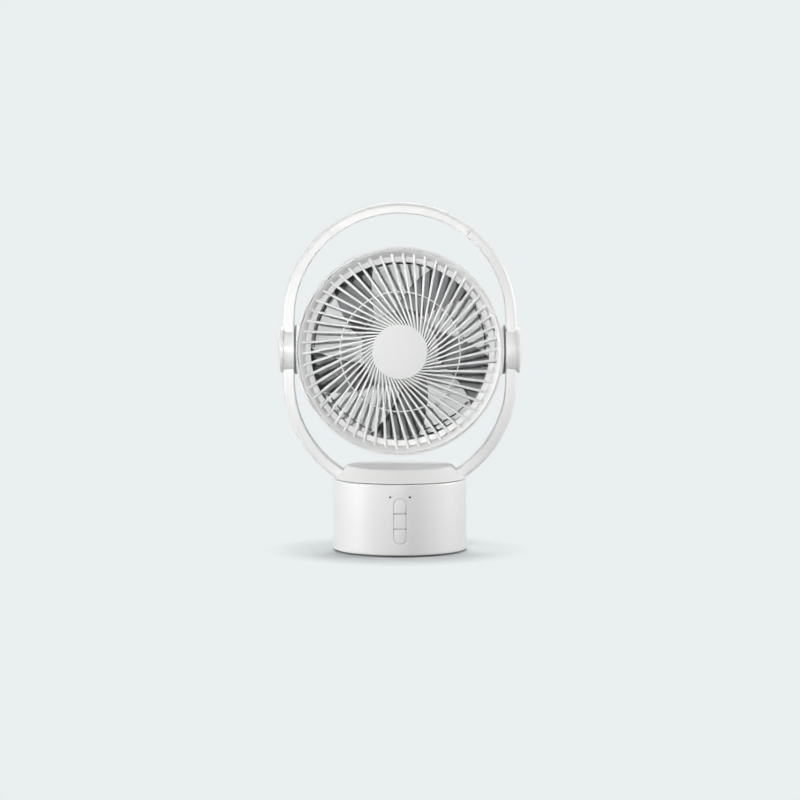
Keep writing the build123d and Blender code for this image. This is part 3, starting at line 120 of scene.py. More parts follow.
class FanGrilleSettings(bpy.types.PropertyGroup):
    """Sizes of the front grille."""

    rib_count: whole("Ribs", "Ribs round the grille", 54, 8, 120)
    rib_offset: length("Rib Offset", "How far each rib's line passes from the middle", 18.5)
    rib_depth: length("Rib Depth", "Depth of a rib from front to back", 3.2)
    hub_width: length("Width at Hub", "Width of a rib at the hub", 1.5)
    rim_width: length("Width at Rim", "Width of a rib at the rim", 2.9)
    crown: length("Crown", "How far the hub stands in front of the throat", 4.4)
    hub_radius: length("Hub Radius", "Radius of the plate that the ribs leave", 26.0)
    middle_radius: length("Middle Ring", "Radius of the thin ring across the ribs", 59.5)
    middle_width: length("Middle Width", "Thickness of the thin ring", 1.3)
    throat_radius: length("Throat", "Radius where the ribs meet the bezel's slope", 96.2)
    throat_depth: length("Throat Depth", "Where the ribs meet the slope, from the head's lip", 5.0)
    edge_inset: length("Edge Inset", "How far the bezel's front edge lies inside the head's shell", 2.8)
    slope_end: length("Slope End", "Radius where the bezel's slope meets the step", 94.4)
    slope_depth: length("Slope Depth", "End of the bezel's slope, from the head's lip", 8.5)
    step_depth: length("Step Depth", "Front of the step, from the head's lip", 12.0)
    bend_depth: length("Bend Depth", "Where the collar narrows, from the head's lip", 20.0)
    collar_radius: length("Collar", "Inside radius of the collar round the blades", 91.9)
    collar_wall: length("Collar Wall", "Thickness of the collar", 1.4)
    shroud: length("Shroud", "Straight part of the collar, past its bend", 40.0)
    step_radius: length("Step Radius", "Inside radius of the step in front of the blade tips", 88.6)
    first_rib: degrees("First Rib", "Angle of the first rib's outer end, past the top", 4.9)


class FanImpellerSettings(bpy.types.PropertyGroup):
    """Sizes of the blades and their hub."""

    blade_count: whole("Blades", "Blades round the hub", 5, 2, 11)
    tip_radius: length("Tip Radius", "Radius of the blade tips", 90.7)
    thickness: length("Blade Thickness", "Thickness in the middle of a blade", 1.8)
    slot_radius: length("Slot Radius", "Outer radius of the slot along each tip", 86.4)
    slot_width: length("Slot Width", "Width of the slot along each tip", 1.4)
    hub_radius: length("Hub Radius", "Radius of the impeller's hub", 36.5)
    hub_depth: length("Hub Depth", "Depth of the impeller's hub", 24.0)
    hub_wall: length("Hub Wall", "Thickness of the hub's wall", 2.0)
    face: length("Hub Face", "Thickness of the hub's front", 2.4)
    hub_round: length("Hub Round", "Radius of the hub's front edge", 4.0)
    tip_angle: degrees("Blade Angle", "Angle of the first blade past the right side", 13.2)


class FanFinishSettings(bpy.types.PropertyGroup):
    """Colours of the finishes that show."""

    shell: colour("Shell", "Satin white of the shells", "#F3F3F2")
    # The rear's grey is painted shade: it is darker than the white shells so that the guard seen between the
    # blades reads as the shade inside the head.
    rear: colour("Rear Shell", "Matt grey of the guard and the bottom", "#A9ABAD")
    hub: colour("Hub Disc", "Pale grey of the disc in the middle of the grille", "#EAEAEA")
    lamp: colour("Lamp Cover", "Milky white of the lamp's cover", "#FAFAF7")
    blade: colour("Blades", "White of the blades", "#F8FAFA")
    # The pads' dark grey is partly their own colour and partly painted shade for the narrow gap between the ring
    # and the head.
    pad: colour("Pads", "Dark grey of the tilt pads", "#6B6E70")
    foot: colour("Feet", "Black of the rubber feet", "#1E1F20")


class FanStageSettings(bpy.types.PropertyGroup):
    """Camera, light and floor."""

    distance: length("Distance", "Camera to the middle of the view", 3600)
    aim: length("Aim", "Height of the middle of the view", 150.6)
    width: length("Width", "Width that the view takes in", 800)
    elevation: degrees("Elevation", "Camera's angle over the horizon", 4.5)
    ambient: FloatProperty(
        name="Ambient", description="Strength of the light from all round", default=0.05, min=0
    )
    fade_start: length("Fade Start", "Where the floor starts to fade, from the fan's axis", 62)
    fade_end: length("Fade End", "Where the floor is all backdrop, from the fan's axis", 140)
    backdrop: colour("Backdrop", "Pale colour behind the fan", "#EAEFF0")
    floor: colour("Floor", "Colour of the floor close to the fan", "#E6EBEC")
    bounce: colour("Bounce", "Colour of the light that the floor sends back up", "#6E7071")


# Nodes and finishes

def add(tree, kind, inputs=None, **settings):
    """Adds a node with its settings, and with values or links for its inputs by name or number."""
    node = tree.nodes.new(kind)
    for key, value in settings.items():
        setattr(node, key, value)
    for key, value in (inputs or {}).items():
        if isinstance(value, bpy.types.NodeSocket):
            tree.links.new(value, node.inputs[key])
        else:
            node.inputs[key].default_value = value
    return node


def cleared(owner):
    """The emptied node tree of a material or a world."""
    owner.use_nodes = True
    owner.node_tree.nodes.clear()
    return owner.node_tree


def blank(name, **constants):
    """A new material with one shader, and its tree, shader and object coordinates."""
    made = bpy.data.materials.new(name)
    tree = cleared(made)
    shader = add(tree, "ShaderNodeBsdfPrincipled", constants)
    add(tree, "ShaderNodeOutputMaterial", {"Surface": shader.outputs["BSDF"]})
    return made, tree, shader, add(tree, "ShaderNodeTexCoord").outputs["Object"]


def uneven(tree, coords, size, low, high):
    """A slow change between two values across patches of a size."""
    patches = add(tree, "ShaderNodeTexNoise", {"Vector": coords, "Scale": 1 / size, "Detail": 2.0})
    return add(tree, "ShaderNodeMapRange", {
        "Value": patches.outputs[0], "From Min": 0.3, "From Max": 0.7, "To Min": low, "To Max": high,
    }).outputs[0]


def tinted(tree, factor, light, share):
    """A colour that drifts towards a darker share of itself."""
    dark = tuple(channel * share for channel in light)
    return add(tree, "ShaderNodeMix", {
        0: factor, 6: (*light, 1), 7: (*dark, 1),
    }, data_type="RGBA").outputs[2]


def wired(tree, shader, links):
    """Links outputs to a shader's inputs by name."""
    for key, value in links.items():
        tree.links.new(value, shader.inputs[key])


def moulded(name, light, roughness, grit, relief, **constants):
    """Moulded plastic or rubber: a hardly visible drift in its colour, and the tool's grain in its gloss.

    A moulding tool's grain is too fine to show here, so each grit is drawn coarser than the real one.
    """
    made, tree, shader, coords = blank(name, **{"IOR": 1.49, **constants})
    colour_patch, gloss_patch, gloss_drift = 45 * MM, 18 * MM, 0.04
    grain = add(tree, "ShaderNodeTexNoise", {"Vector": coords, "Scale": 1 / grit, "Detail": 3.0})
    bump = {"Height": grain.outputs[0], "Strength": relief, "Distance": 0.1 * MM}
    wired(tree, shader, {
        "Base Color": tinted(tree, uneven(tree, coords, colour_patch, 0, 1), light, 0.975),
        "Roughness": uneven(tree, coords, gloss_patch, roughness - gloss_drift, roughness + gloss_drift),
        "Normal": add(tree, "ShaderNodeBump", bump).outputs[0],
    })
    return made


def metal(name, light, roughness, streak, lay):
    """Bare or plated metal: lines along one direction, drawn coarser than real, break up the gloss."""
    made, tree, shader, coords = blank(name, Metallic=1.0)
    along = add(tree, "ShaderNodeMapping", {"Vector": coords, "Scale": lay}).outputs[0]
    lines = add(tree, "ShaderNodeTexNoise", {"Vector": along, "Scale": 1 / streak, "Detail": 4.0})
    gloss_drift = 0.1
    gloss = {
        "Value": lines.outputs[0], "To Min": roughness - gloss_drift, "To Max": roughness + gloss_drift,
    }
    bump = {"Height": lines.outputs[0], "Strength": 0.15, "Distance": 0.05 * MM}
    wired(tree, shader, {
        "Base Color": tinted(tree, lines.outputs[0], light, 0.82),
        "Roughness": add(tree, "ShaderNodeMapRange", gloss).outputs[0],
        "Normal": add(tree, "ShaderNodeBump", bump).outputs[0],
    })
    return made


def finishes():
    """Every finish by the record's own slot name."""
    tint = bpy.context.scene.fan_finish
    soft = {
        "Subsurface Weight": 0.35, "Subsurface Radius": (1.0, 1.0, 0.95), "Subsurface Scale": 3 * MM,
    }
    # A pattern's scale along X, Y and Z: a small one draws the lines out along that axis.
    even, upright, crosswise, rearward = (1, 1, 1), (1, 1, 0.05), (0.05, 1, 0.05), (1, 0.05, 1)
    return {
        # Satin ABS from a fine-blasted tool: even white with a soft, wide highlight.
        "white_plastic": moulded("abs_satin_white", tint.shell, 0.36, 1.6 * MM, 0.02),
        # The same ABS from a spark-eroded tool: flat and slightly grainy. It is tinted mid grey so that the guard,
        # seen between the blades, shows as the shade inside the head: painted shade.
        "rear_plastic": moulded("abs_eroded_grey", tint.rear, 0.55, 0.8 * MM, 0.12),
        # Matt ABS disc: almost no highlight.
        "hub_plastic": moulded("abs_matt_grey", tint.hub, 0.6, 0.6 * MM, 0.06),
        # Milky polycarbonate: light enters it and comes back out softly.
        "diffuser_plastic": moulded("polycarbonate_milky", tint.lamp, 0.34, 1.6 * MM, 0.01, **soft),
        # Polypropylene: waxy, and a little softer in its highlight than the shells.
        "blade_plastic": moulded("polypropylene_pale", tint.blade, 0.42, 0.7 * MM, 0.05),
        # Moulded nitrile: dry and dark grey. The dark also stands in for the shade in the narrow gap between the
        # ring and the head, so it is partly painted shade.
        "pad_rubber": moulded("nitrile_dark", tint.pad, 0.72, 0.6 * MM, 0.2),
        # Soft rubber with a fine tooth from its tool.
        "foot_rubber": moulded("rubber_black", tint.foot, 0.8, 0.7 * MM, 0.3),
        # Zinc-plated steel: pale, with a faint drift in its gloss.
        "screw_steel": metal("steel_zinc_plated", linear("#B4B4B2"), 0.35, 0.5 * MM, even),
        # Blued spring steel: almost black.
        "spring_steel": metal("steel_blued", linear("#3C3D42"), 0.4, 0.5 * MM, even),
        # Ground steel: fine lines round the shaft.
        "shaft_steel": metal("steel_ground", linear("#C9C9CB"), 0.22, 0.3 * MM, crosswise),
        # Filled black ABS: matt.
        "black_plastic": moulded("abs_matt_black", linear("#232426"), 0.6, 0.7 * MM, 0.1),
        # Shrink sleeve over a steel can: smooth with a plastic gloss.
        "cell_sleeve": moulded("sleeve_blue", linear("#2F6FA8"), 0.3, 2.0 * MM, 0.05),
        # Solder mask over woven glass: green with a faint weave.
        "circuit_board": moulded("solder_mask_green", linear("#1F6B3F"), 0.35, 0.4 * MM, 0.15),
        # Phosphor in a white package.
        "led_package": moulded("phosphor_yellow", linear("#F2DD8A"), 0.4, 0.3 * MM, 0.05),
        # Smoked polycarbonate: dark and glossy.
        "smoked_lens": moulded("polycarbonate_smoked", linear("#141516"), 0.15, 0.5 * MM, 0.02),
        # Nickel plate over drawn steel: bright, with the draw's upright lines.
        "plated_steel": metal("steel_nickel_plated", linear("#C6C4BE"), 0.28, 0.4 * MM, upright),
        # Natural acetal: milky and slick.
        "acetal": moulded("acetal_natural", linear("#EFEDE4"), 0.35, 0.6 * MM, 0.05),
        # Punched sheets in a stack: lines across the core.
        "core_steel": metal("steel_laminated", linear("#7F8083"), 0.4, 0.5 * MM, crosswise),
        # Enamelled wire: warm, with the turns as fine lines.
        "copper_wire": metal("copper_enamelled", linear("#B4632F"), 0.3, 0.6 * MM, rearward),
        # Sintered bronze: dull and slightly porous.
        "bearing_bronze": metal("bronze_sintered", linear("#A98552"), 0.5, 0.3 * MM, even),
        # Pressed ferrite: dull dark grey.
        "ferrite": moulded("ferrite_grey", linear("#3A3B3D"), 0.65, 0.5 * MM, 0.15),
    }


# Shapes

def placed(name, data):
    """A new object in the scene."""
    made = bpy.data.objects.new(name, data)
    bpy.context.scene.collection.objects.link(made)
    return made


def rounded(corners, steps=6):
    """A closed outline through corners (x, y, radius), with each corner rounded by its radius."""
    points = []
    for i, (x, y, radius) in enumerate(corners):
        here = Vector((x, y))
        if radius <= 0:
            points.append(here)
            continue
        before = (Vector(corners[i - 1][:2]) - here).normalized()
        after = (Vector(corners[(i + 1) % len(corners)][:2]) - here).normalized()
        half = before.angle(after) / 2
        centre = here + (before + after).normalized() * radius / sin(half)
        start = here + before * radius / tan(half) - centre
        end = here + after * radius / tan(half) - centre
        sweep = pi - 2 * half
        for k in range(steps + 1):
            turn = sweep * k / steps
            points.append(centre + (start * sin(sweep - turn) + end * sin(turn)) / sin(sweep))
    return points


def joined(shape, rings, closed):
    """Faces between neighbouring rings of vertices, where a ring of one vertex is a pole."""
    pairs = zip(rings, rings[1:] + rings[:1]) if closed else zip(rings, rings[1:])
    for a, b in pairs:
        for k in range(max(len(a), len(b))):
            corners = [a[k % len(a)], a[(k + 1) % len(a)], b[(k + 1) % len(b)], b[k % len(b)]]
            corners = list(dict.fromkeys(corners))
            if len(corners) > 2:
                shape.faces.new(corners)


def quarter(steps):
    """Even steps through a quarter turn."""
    return [radians(90 * k / steps) for k in range(steps + 1)]


def turned(shape, outline, steps=160):
    """Adds a solid turned round the head's axis from a closed outline of (radius, depth) points."""
    rings = []
    for radius, depth in outline:
        turns = [2 * pi * k / steps for k in range(1 if radius < 1e-7 else steps)]
        spots = [HEAD_AXIS @ Vector((radius * cos(turn), radius * sin(turn), depth)) for turn in turns]
        rings.append([shape.verts.new(spot) for spot in spots])
    joined(shape, rings, True)


def finished(name, shape, finish, body, *replaced):
    """Makes a piece from a bmesh, smooth with crisp corners, and sets it on its CAD body."""
    mesh = bpy.data.meshes.new(name)
    bmesh.ops.recalc_face_normals(shape, faces=shape.faces)
    shape.to_mesh(mesh)
    shape.free()
    mesh.shade_smooth()
    mesh.set_sharp_from_angle(angle=radians(38))
    mesh.materials.append(bpy.data.materials[finish])
    made = placed(name, mesh)
    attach(made, body)
    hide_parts(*replaced)


def tree_inputs(tree, **sockets):
    """Adds named inputs to a node tree and returns its input node."""
    tree.interface.new_socket("Geometry", in_out="INPUT", socket_type="NodeSocketGeometry")
    for name, kind in sockets.items():
        label = name.replace("_", " ")
        tree.interface.new_socket(label, in_out="INPUT", socket_type=f"NodeSocket{kind}")
    tree.interface.new_socket("Geometry", in_out="OUTPUT", socket_type="NodeSocketGeometry")
    return tree.nodes.new("NodeGroupInput").outputs


def grown(mesh, tree, **values):
    """The plain mesh that a node tree makes from a mesh and named values."""
    source = placed(f"{tree.name}_source", mesh)
    modifier = source.modifiers.new(tree.name, "NODES")
    modifier.node_group = tree
    for item in tree.interface.items_tree:
        key = item.name.replace(" ", "_")
        if item.in_out == "INPUT" and key in values:
            modifier[item.identifier] = values[key]
    graph = bpy.context.evaluated_depsgraph_get()
    result = bpy.data.meshes.new_from_object(source.evaluated_get(graph))
    source.modifiers.remove(modifier)
    bpy.data.objects.remove(source)
    return result


def ring_of_copies(tree, shape, count, first, centre):
    """Instances of a shape turned round the head's axis, counter-clockwise from the front."""
    step = add(tree, "ShaderNodeMath", {0: 2 * pi, 1: count}, operation="DIVIDE").outputs[0]
    index = add(tree, "GeometryNodeInputIndex").outputs[0]
    turn = add(tree, "ShaderNodeMath", {
        0: step, 1: index, 2: first,
    }, operation="MULTIPLY_ADD").outputs[0]
    back = add(tree, "ShaderNodeMath", {0: turn, 1: -1.0}, operation="MULTIPLY").outputs[0]
    euler = add(tree, "ShaderNodeCombineXYZ", {"Y": back}).outputs[0]
    points = add(tree, "GeometryNodePoints", {"Count": count, "Position": centre}).outputs[0]
    rotation = add(tree, "FunctionNodeEulerToRotation", {0: euler}).outputs[0]
    return add(tree, "GeometryNodeInstanceOnPoints", {
        "Points": points, "Instance": shape, "Rotation": rotation,
    }).outputs[0]


def closing(tree, shapes, material):
    """Ends a tree: joins its shapes, makes them real and gives them their material."""
    both = tree.nodes.new("GeometryNodeJoinGeometry")
    for shape in shapes:
        tree.links.new(shape, both.inputs[0])
    real = add(tree, "GeometryNodeRealizeInstances", {0: both.outputs[0]}).outputs[0]
    painted = add(tree, "GeometryNodeSetMaterial", {"Geometry": real, "Material": material}).outputs[0]
    add(tree, "NodeGroupOutput", {0: painted})


# Base

def drum_spot(radius, angle, height):
    """A place on a drum: angle 0 is the front, and angles grow towards the right side."""
    return Vector((radius * sin(angle), -radius * cos(angle), height))


class Opening(NamedTuple):
    """A pill-shaped opening in the drum's wall, and the limits of the patch of wall round it."""

    angle: float  # degrees from the front
    height: float
    spine: tuple  # half the pill's middle line, along the wall and upwards
    radius: float
    patch: float  # degrees from the pill's middle to the patch's sides
    low: float
    high: float


def openings(base):
    """The wall's openings: one for the buttons, one for each light and one for the plug."""
    # Half a patch's width and the lights' place in degrees, then a patch's margins and the clearances.
    wide, narrow, lens_angle = 7, 1.6, 8.4
    under_buttons, round_lens, round_port = 3 * MM, 1.6 * MM, 4 * MM
    lens_gap, port_gap = 0.1 * MM, 0.3 * MM
    tall = base.button_count * base.button_height
    middle = base.button_bottom + tall / 2
    pill = base.button_width / 2
    lens_low, lens_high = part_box("indicator_lenses")
    lens = (lens_low.z + lens_high.z) / 2
    lens_radius = (lens_high.z - lens_low.z) / 2 + lens_gap
    low, high = base.button_bottom - under_buttons, lens + round_lens
    port_low, port_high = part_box("charge_socket")
    port = (port_low.z + port_high.z) / 2
    port_radius = (port_high.z - port_low.z) / 2 + port_gap
    port_half = (port_high.x - port_low.x - port_high.z + port_low.z) / 2
    return [
        Opening(0, middle, (0, tall / 2 - pill), pill, wide, low, high),
        Opening(lens_angle, lens, (0, 0), lens_radius, narrow, lens - round_lens, high),
        Opening(-lens_angle, lens, (0, 0), lens_radius, narrow, lens - round_lens, high),
        Opening(180, port, (port_half, 0), port_radius, wide, port - round_port, port + round_port),
    ]


def wall_heights(limits, step):
    """Levels of the wall's rows: every limit, with even steps in between."""
    levels = []
    for low, high in zip(limits, limits[1:]):
        count = max(1, round((high - low) / step))
        levels += [low + (high - low) * k / count for k in range(count)]
    return levels + [limits[-1]]


class BuildBase(bpy.types.Operator):
    """Makes the drum's wall, rim and deck, with soft-edged openings for buttons, lights and plug"""

    bl_idname = "fan.build_base"
    bl_label = "Base Drum"
    columns = 360
    row_height = 2 * MM

    def execute(self, context):
        base = context.scene.fan_base
        outer, inner = BASE_HIGH.x, BASE_HIGH.x - base.wall
        low, top = BASE_LOW.z, BASE_HIGH.z
        holes = openings(base)
        limits = {low + base.lower_round, top - base.rim_round}
        for hole in holes:
            limits.update(round(level, 6) for level in (hole.low, hole.high))
        rows = wall_heights(sorted(limits), self.row_height)
        deck, across = top - base.deck, 0.7 * outer
        profile = rounded([(inner, low, 0), (outer, low, base.lower_round), (outer, rows[-1], 0)])
        profile = [(inner, low)] + [(p.x, p.y) for p in profile[1:-1]]
        outer_start = len(profile) - 1
        profile += [(outer, level) for level in rows[1:]]
        rim = rounded([(outer, rows[-1], 0), (outer, top, base.rim_round), (base.bore, top, 0)])
        profile += [(p.x, p.y) for p in rim[2:-1]]
        profile += [(across, top), (base.bore, top), (base.bore, deck), (across, deck)]
        inner_start = len(profile)
        profile += [(inner, min(level, deck)) for level in reversed(rows)]
        shape = bmesh.new()
        turns = [2 * pi * k / self.columns for k in range(self.columns)]
        rings = [[shape.verts.new(drum_spot(r, turn, z)) for turn in turns] for r, z in profile]
        skipped = set()
        for hole in holes:
            first, last = (self.row(rows, height) for height in (hole.low, hole.high))
            columns = self.patch_columns(hole)
            for row in range(first, last):
                for column in columns[:-1]:
                    skipped.add((outer_start + row, column))
                    skipped.add((inner_start + len(rows) - 2 - row, column))
            ring = self.border(columns, first, last)
            out = [rings[outer_start + row][column] for column, row in ring]
            back = [rings[inner_start + len(rows) - 1 - row][column] for column, row in ring]
            self.tunnel(shape, base, hole, out, back)
        for i, ring in enumerate(rings):
            following = rings[(i + 1) % len(rings)]
            for k in range(self.columns):
                if (i, k) not in skipped:
                    after = (k + 1) % self.columns
                    shape.faces.new((ring[k], ring[after], following[after], following[k]))
        finished("base_drum", shape, "abs_satin_white", "base", "base_shell")
        return {"FINISHED"}

    def row(self, rows, height):
        """The number of the row nearest to a height."""
        return min(range(len(rows)), key=lambda i: abs(rows[i] - height))

    def patch_columns(self, hole):
        first, last = round(hole.angle - hole.patch), round(hole.angle + hole.patch)
        return [column % self.columns for column in range(first, last + 1)]

    def border(self, columns, first, last):
        """The patch's border vertices in order, as column and row."""
        ring = [(column, first) for column in columns]
        ring += [(columns[-1], row) for row in range(first + 1, last)]
        ring += [(column, last) for column in reversed(columns)]
        return ring + [(columns[0], row) for row in range(last - 1, first, -1)]

    def tunnel(self, shape, base, hole, out, back):
        """Closes a patch of the wall round its opening, with a soft edge and a wall through the drum."""
        angle, height, spine = radians(hole.angle), hole.height, hole.spine
        outer = BASE_HIGH.x
        soft = min(base.soft_edge, hole.radius / 2)
        levels = [(hole.radius + soft * (1 - sin(turn)), soft * (1 - cos(turn))) for turn in quarter(4)]
        levels.append((hole.radius, base.wall))
        rings = [out] + [[] for level in levels] + [back]
        for vertex in out:
            turn = remainder(atan2(vertex.co.x, -vertex.co.y) - angle, 2 * pi)
            away = Vector((turn * outer, vertex.co.z - height))
            near = Vector(max(-half, min(half, reach)) for half, reach in zip(spine, away))
            direction = (away - near).normalized()
            for ring, (reach, depth) in zip(rings[1:], levels):
                spot = near + direction * reach
                place = drum_spot(outer - depth, angle + spot.x / outer, height + spot.y)
                ring.append(shape.verts.new(place))
        joined(shape, rings, False)


class BuildButtons(bpy.types.Operator):
    """Makes the buttons, flush with the drum and softly pillowed"""

    bl_idname = "fan.build_buttons"
    bl_label = "Buttons"

    def execute(self, context):
        base = context.scene.fan_base
        names = (
            ("light_button", "bottom_button"), ("swing_button", "middle_button"),
            ("fan_button", "top_button"),
        )
        for i, (node, body) in enumerate(names[:base.button_count]):
            low = base.button_bottom + base.button_height * i + base.button_gap
            high = low + base.button_height - 2 * base.button_gap
            ends = (i == 0, i == base.button_count - 1)
            shape = bmesh.new()
            soft = base.soft_edge
            levels = [(0, base.button_depth)]
            levels += [(soft * (1 - cos(turn)), soft * (1 - sin(turn))) for turn in quarter(5)]
            rings = [self.ring(shape, base, low, high, ends, inset, depth, 1) for inset, depth in levels]
            for share in (0.8, 0.55, 0.3):
                rings.append(self.ring(shape, base, low, high, ends, soft, 0, share))
            middle = shape.verts.new(drum_spot(BASE_HIGH.x, 0, (low + high) / 2))
            rings.append([middle])
            joined(shape, rings, False)
            shape.faces.new(rings[0])
            finished(f"{node}_cap", shape, "abs_satin_white", body, node)
        return {"FINISHED"}

    def ring(self, shape, base, low, high, ends, inset, depth, share):
        """One closed ring of the button's outline, moved in and set back, then drawn to its middle."""
        half = base.button_width / 2 - base.button_gap - inset
        # Just under half the width, so that the two corners of a round end stay apart.
        full, slight = half * 0.995, max(base.button_corner - inset, 0.2 * MM)
        lower, upper = (full if end else slight for end in ends)
        low, high = low + inset, high - inset
        outline = rounded([
            (-half, low, lower), (half, low, lower), (half, high, upper), (-half, high, upper),
        ], 12)
        middle = (low + high) / 2
        spots = [(p.x * share, middle + (p.y - middle) * share) for p in outline]
        return [shape.verts.new(drum_spot(BASE_HIGH.x - depth, x / BASE_HIGH.x, z)) for x, z in spots]


# Head

def rib_tree():
    """Tapered, crowned ribs that pass the middle at a distance, and a thin ring behind them."""
    tree = bpy.data.node_groups.new("grille_ribs", "GeometryNodeTree")
    given = tree_inputs(
        tree, Rib_Count="Int", Offset="Float", Inner_Reach="Float", Outer_Reach="Float",
        Hub_Width="Float", Rim_Width="Float", Depth="Float", Front="Float", Crown="Float",
        First="Float", Centre="Vector", Ring_Radius="Float", Ring_Width="Float", Ring_Place="Float",
        Material="Material",
    )
    bar = add(tree, "GeometryNodeMeshCylinder", {
        "Vertices": 16, "Side Segments": 18, "Radius": 1.0, "Depth": 1.0,
    }).outputs[0]
    position = add(tree, "GeometryNodeInputPosition").outputs[0]
    place = add(tree, "ShaderNodeSeparateXYZ", {0: position}).outputs
    along = add(tree, "ShaderNodeMath", {0: place["Z"], 1: 0.5}, operation="ADD").outputs[0]
    # A power under 1 draws the round bar's section out to a rectangle with soft corners.
    squareness = 0.5
    squared = []
    for axis in ("X", "Y"):
        size = add(tree, "ShaderNodeMath", {0: place[axis]}, operation="ABSOLUTE").outputs[0]
        full = add(tree, "ShaderNodeMath", {0: size, 1: squareness}, operation="POWER").outputs[0]
        side = add(tree, "ShaderNodeMath", {0: place[axis]}, operation="SIGN").outputs[0]
        squared.append(add(tree, "ShaderNodeMath", {0: full, 1: side}, operation="MULTIPLY").outputs[0])
    width = add(tree, "ShaderNodeMapRange", {
        "Value": along, "To Min": given["Hub Width"], "To Max": given["Rim Width"],
    }).outputs[0]
    half = add(tree, "ShaderNodeMath", {0: width, 1: 0.5}, operation="MULTIPLY").outputs[0]
    across = add(tree, "ShaderNodeMath", {
        0: squared[0], 1: half, 2: given["Offset"],
    }, operation="MULTIPLY_ADD").outputs[0]
    reach = add(tree, "ShaderNodeMapRange", {
        "Value": along, "To Min": given["Inner Reach"], "To Max": given["Outer Reach"],
    }).outputs[0]
    bend = add(tree, "ShaderNodeMath", {0: along, 1: 2.0}, operation="POWER").outputs[0]
    face = add(tree, "ShaderNodeMath", {
        0: bend, 1: given["Crown"], 2: given["Front"],
    }, operation="MULTIPLY_ADD").outputs[0]
    thick = add(tree, "ShaderNodeMath", {0: given["Depth"], 1: 0.5}, operation="MULTIPLY").outputs[0]
    lift = add(tree, "ShaderNodeMath", {
        0: squared[1], 1: thick, 2: thick,
    }, operation="MULTIPLY_ADD").outputs[0]
    depth = add(tree, "ShaderNodeMath", {0: face, 1: lift}, operation="ADD").outputs[0]
    spot = add(tree, "ShaderNodeCombineXYZ", {"X": across, "Y": depth, "Z": reach}).outputs[0]
    rib = add(tree, "GeometryNodeSetPosition", {"Geometry": bar, "Position": spot}).outputs[0]
    ribs = ring_of_copies(tree, rib, given["Rib Count"], given["First"], given["Centre"])
    path = add(tree, "GeometryNodeCurvePrimitiveCircle", {
        "Resolution": 216, "Radius": given["Ring Radius"],
    }).outputs[0]
    wire = add(tree, "ShaderNodeMath", {0: given["Ring Width"], 1: 0.5}, operation="MULTIPLY").outputs[0]
    section = add(tree, "GeometryNodeCurvePrimitiveCircle", {"Resolution": 12, "Radius": wire}).outputs[0]
    hoop = add(tree, "GeometryNodeCurveToMesh", {"Curve": path, "Profile Curve": section}).outputs[0]
    rearward = add(tree, "ShaderNodeCombineXYZ", {"Y": given["Ring Place"]}).outputs[0]
    shift = add(tree, "ShaderNodeVectorMath", {
        0: rearward, 1: given["Centre"],
    }, operation="ADD").outputs[0]
    hoop = add(tree, "GeometryNodeTransform", {
        "Geometry": hoop, "Translation": shift, "Rotation": (pi / 2, 0, 0),
    }).outputs[0]
    closing(tree, (ribs, hoop), given["Material"])
    return tree


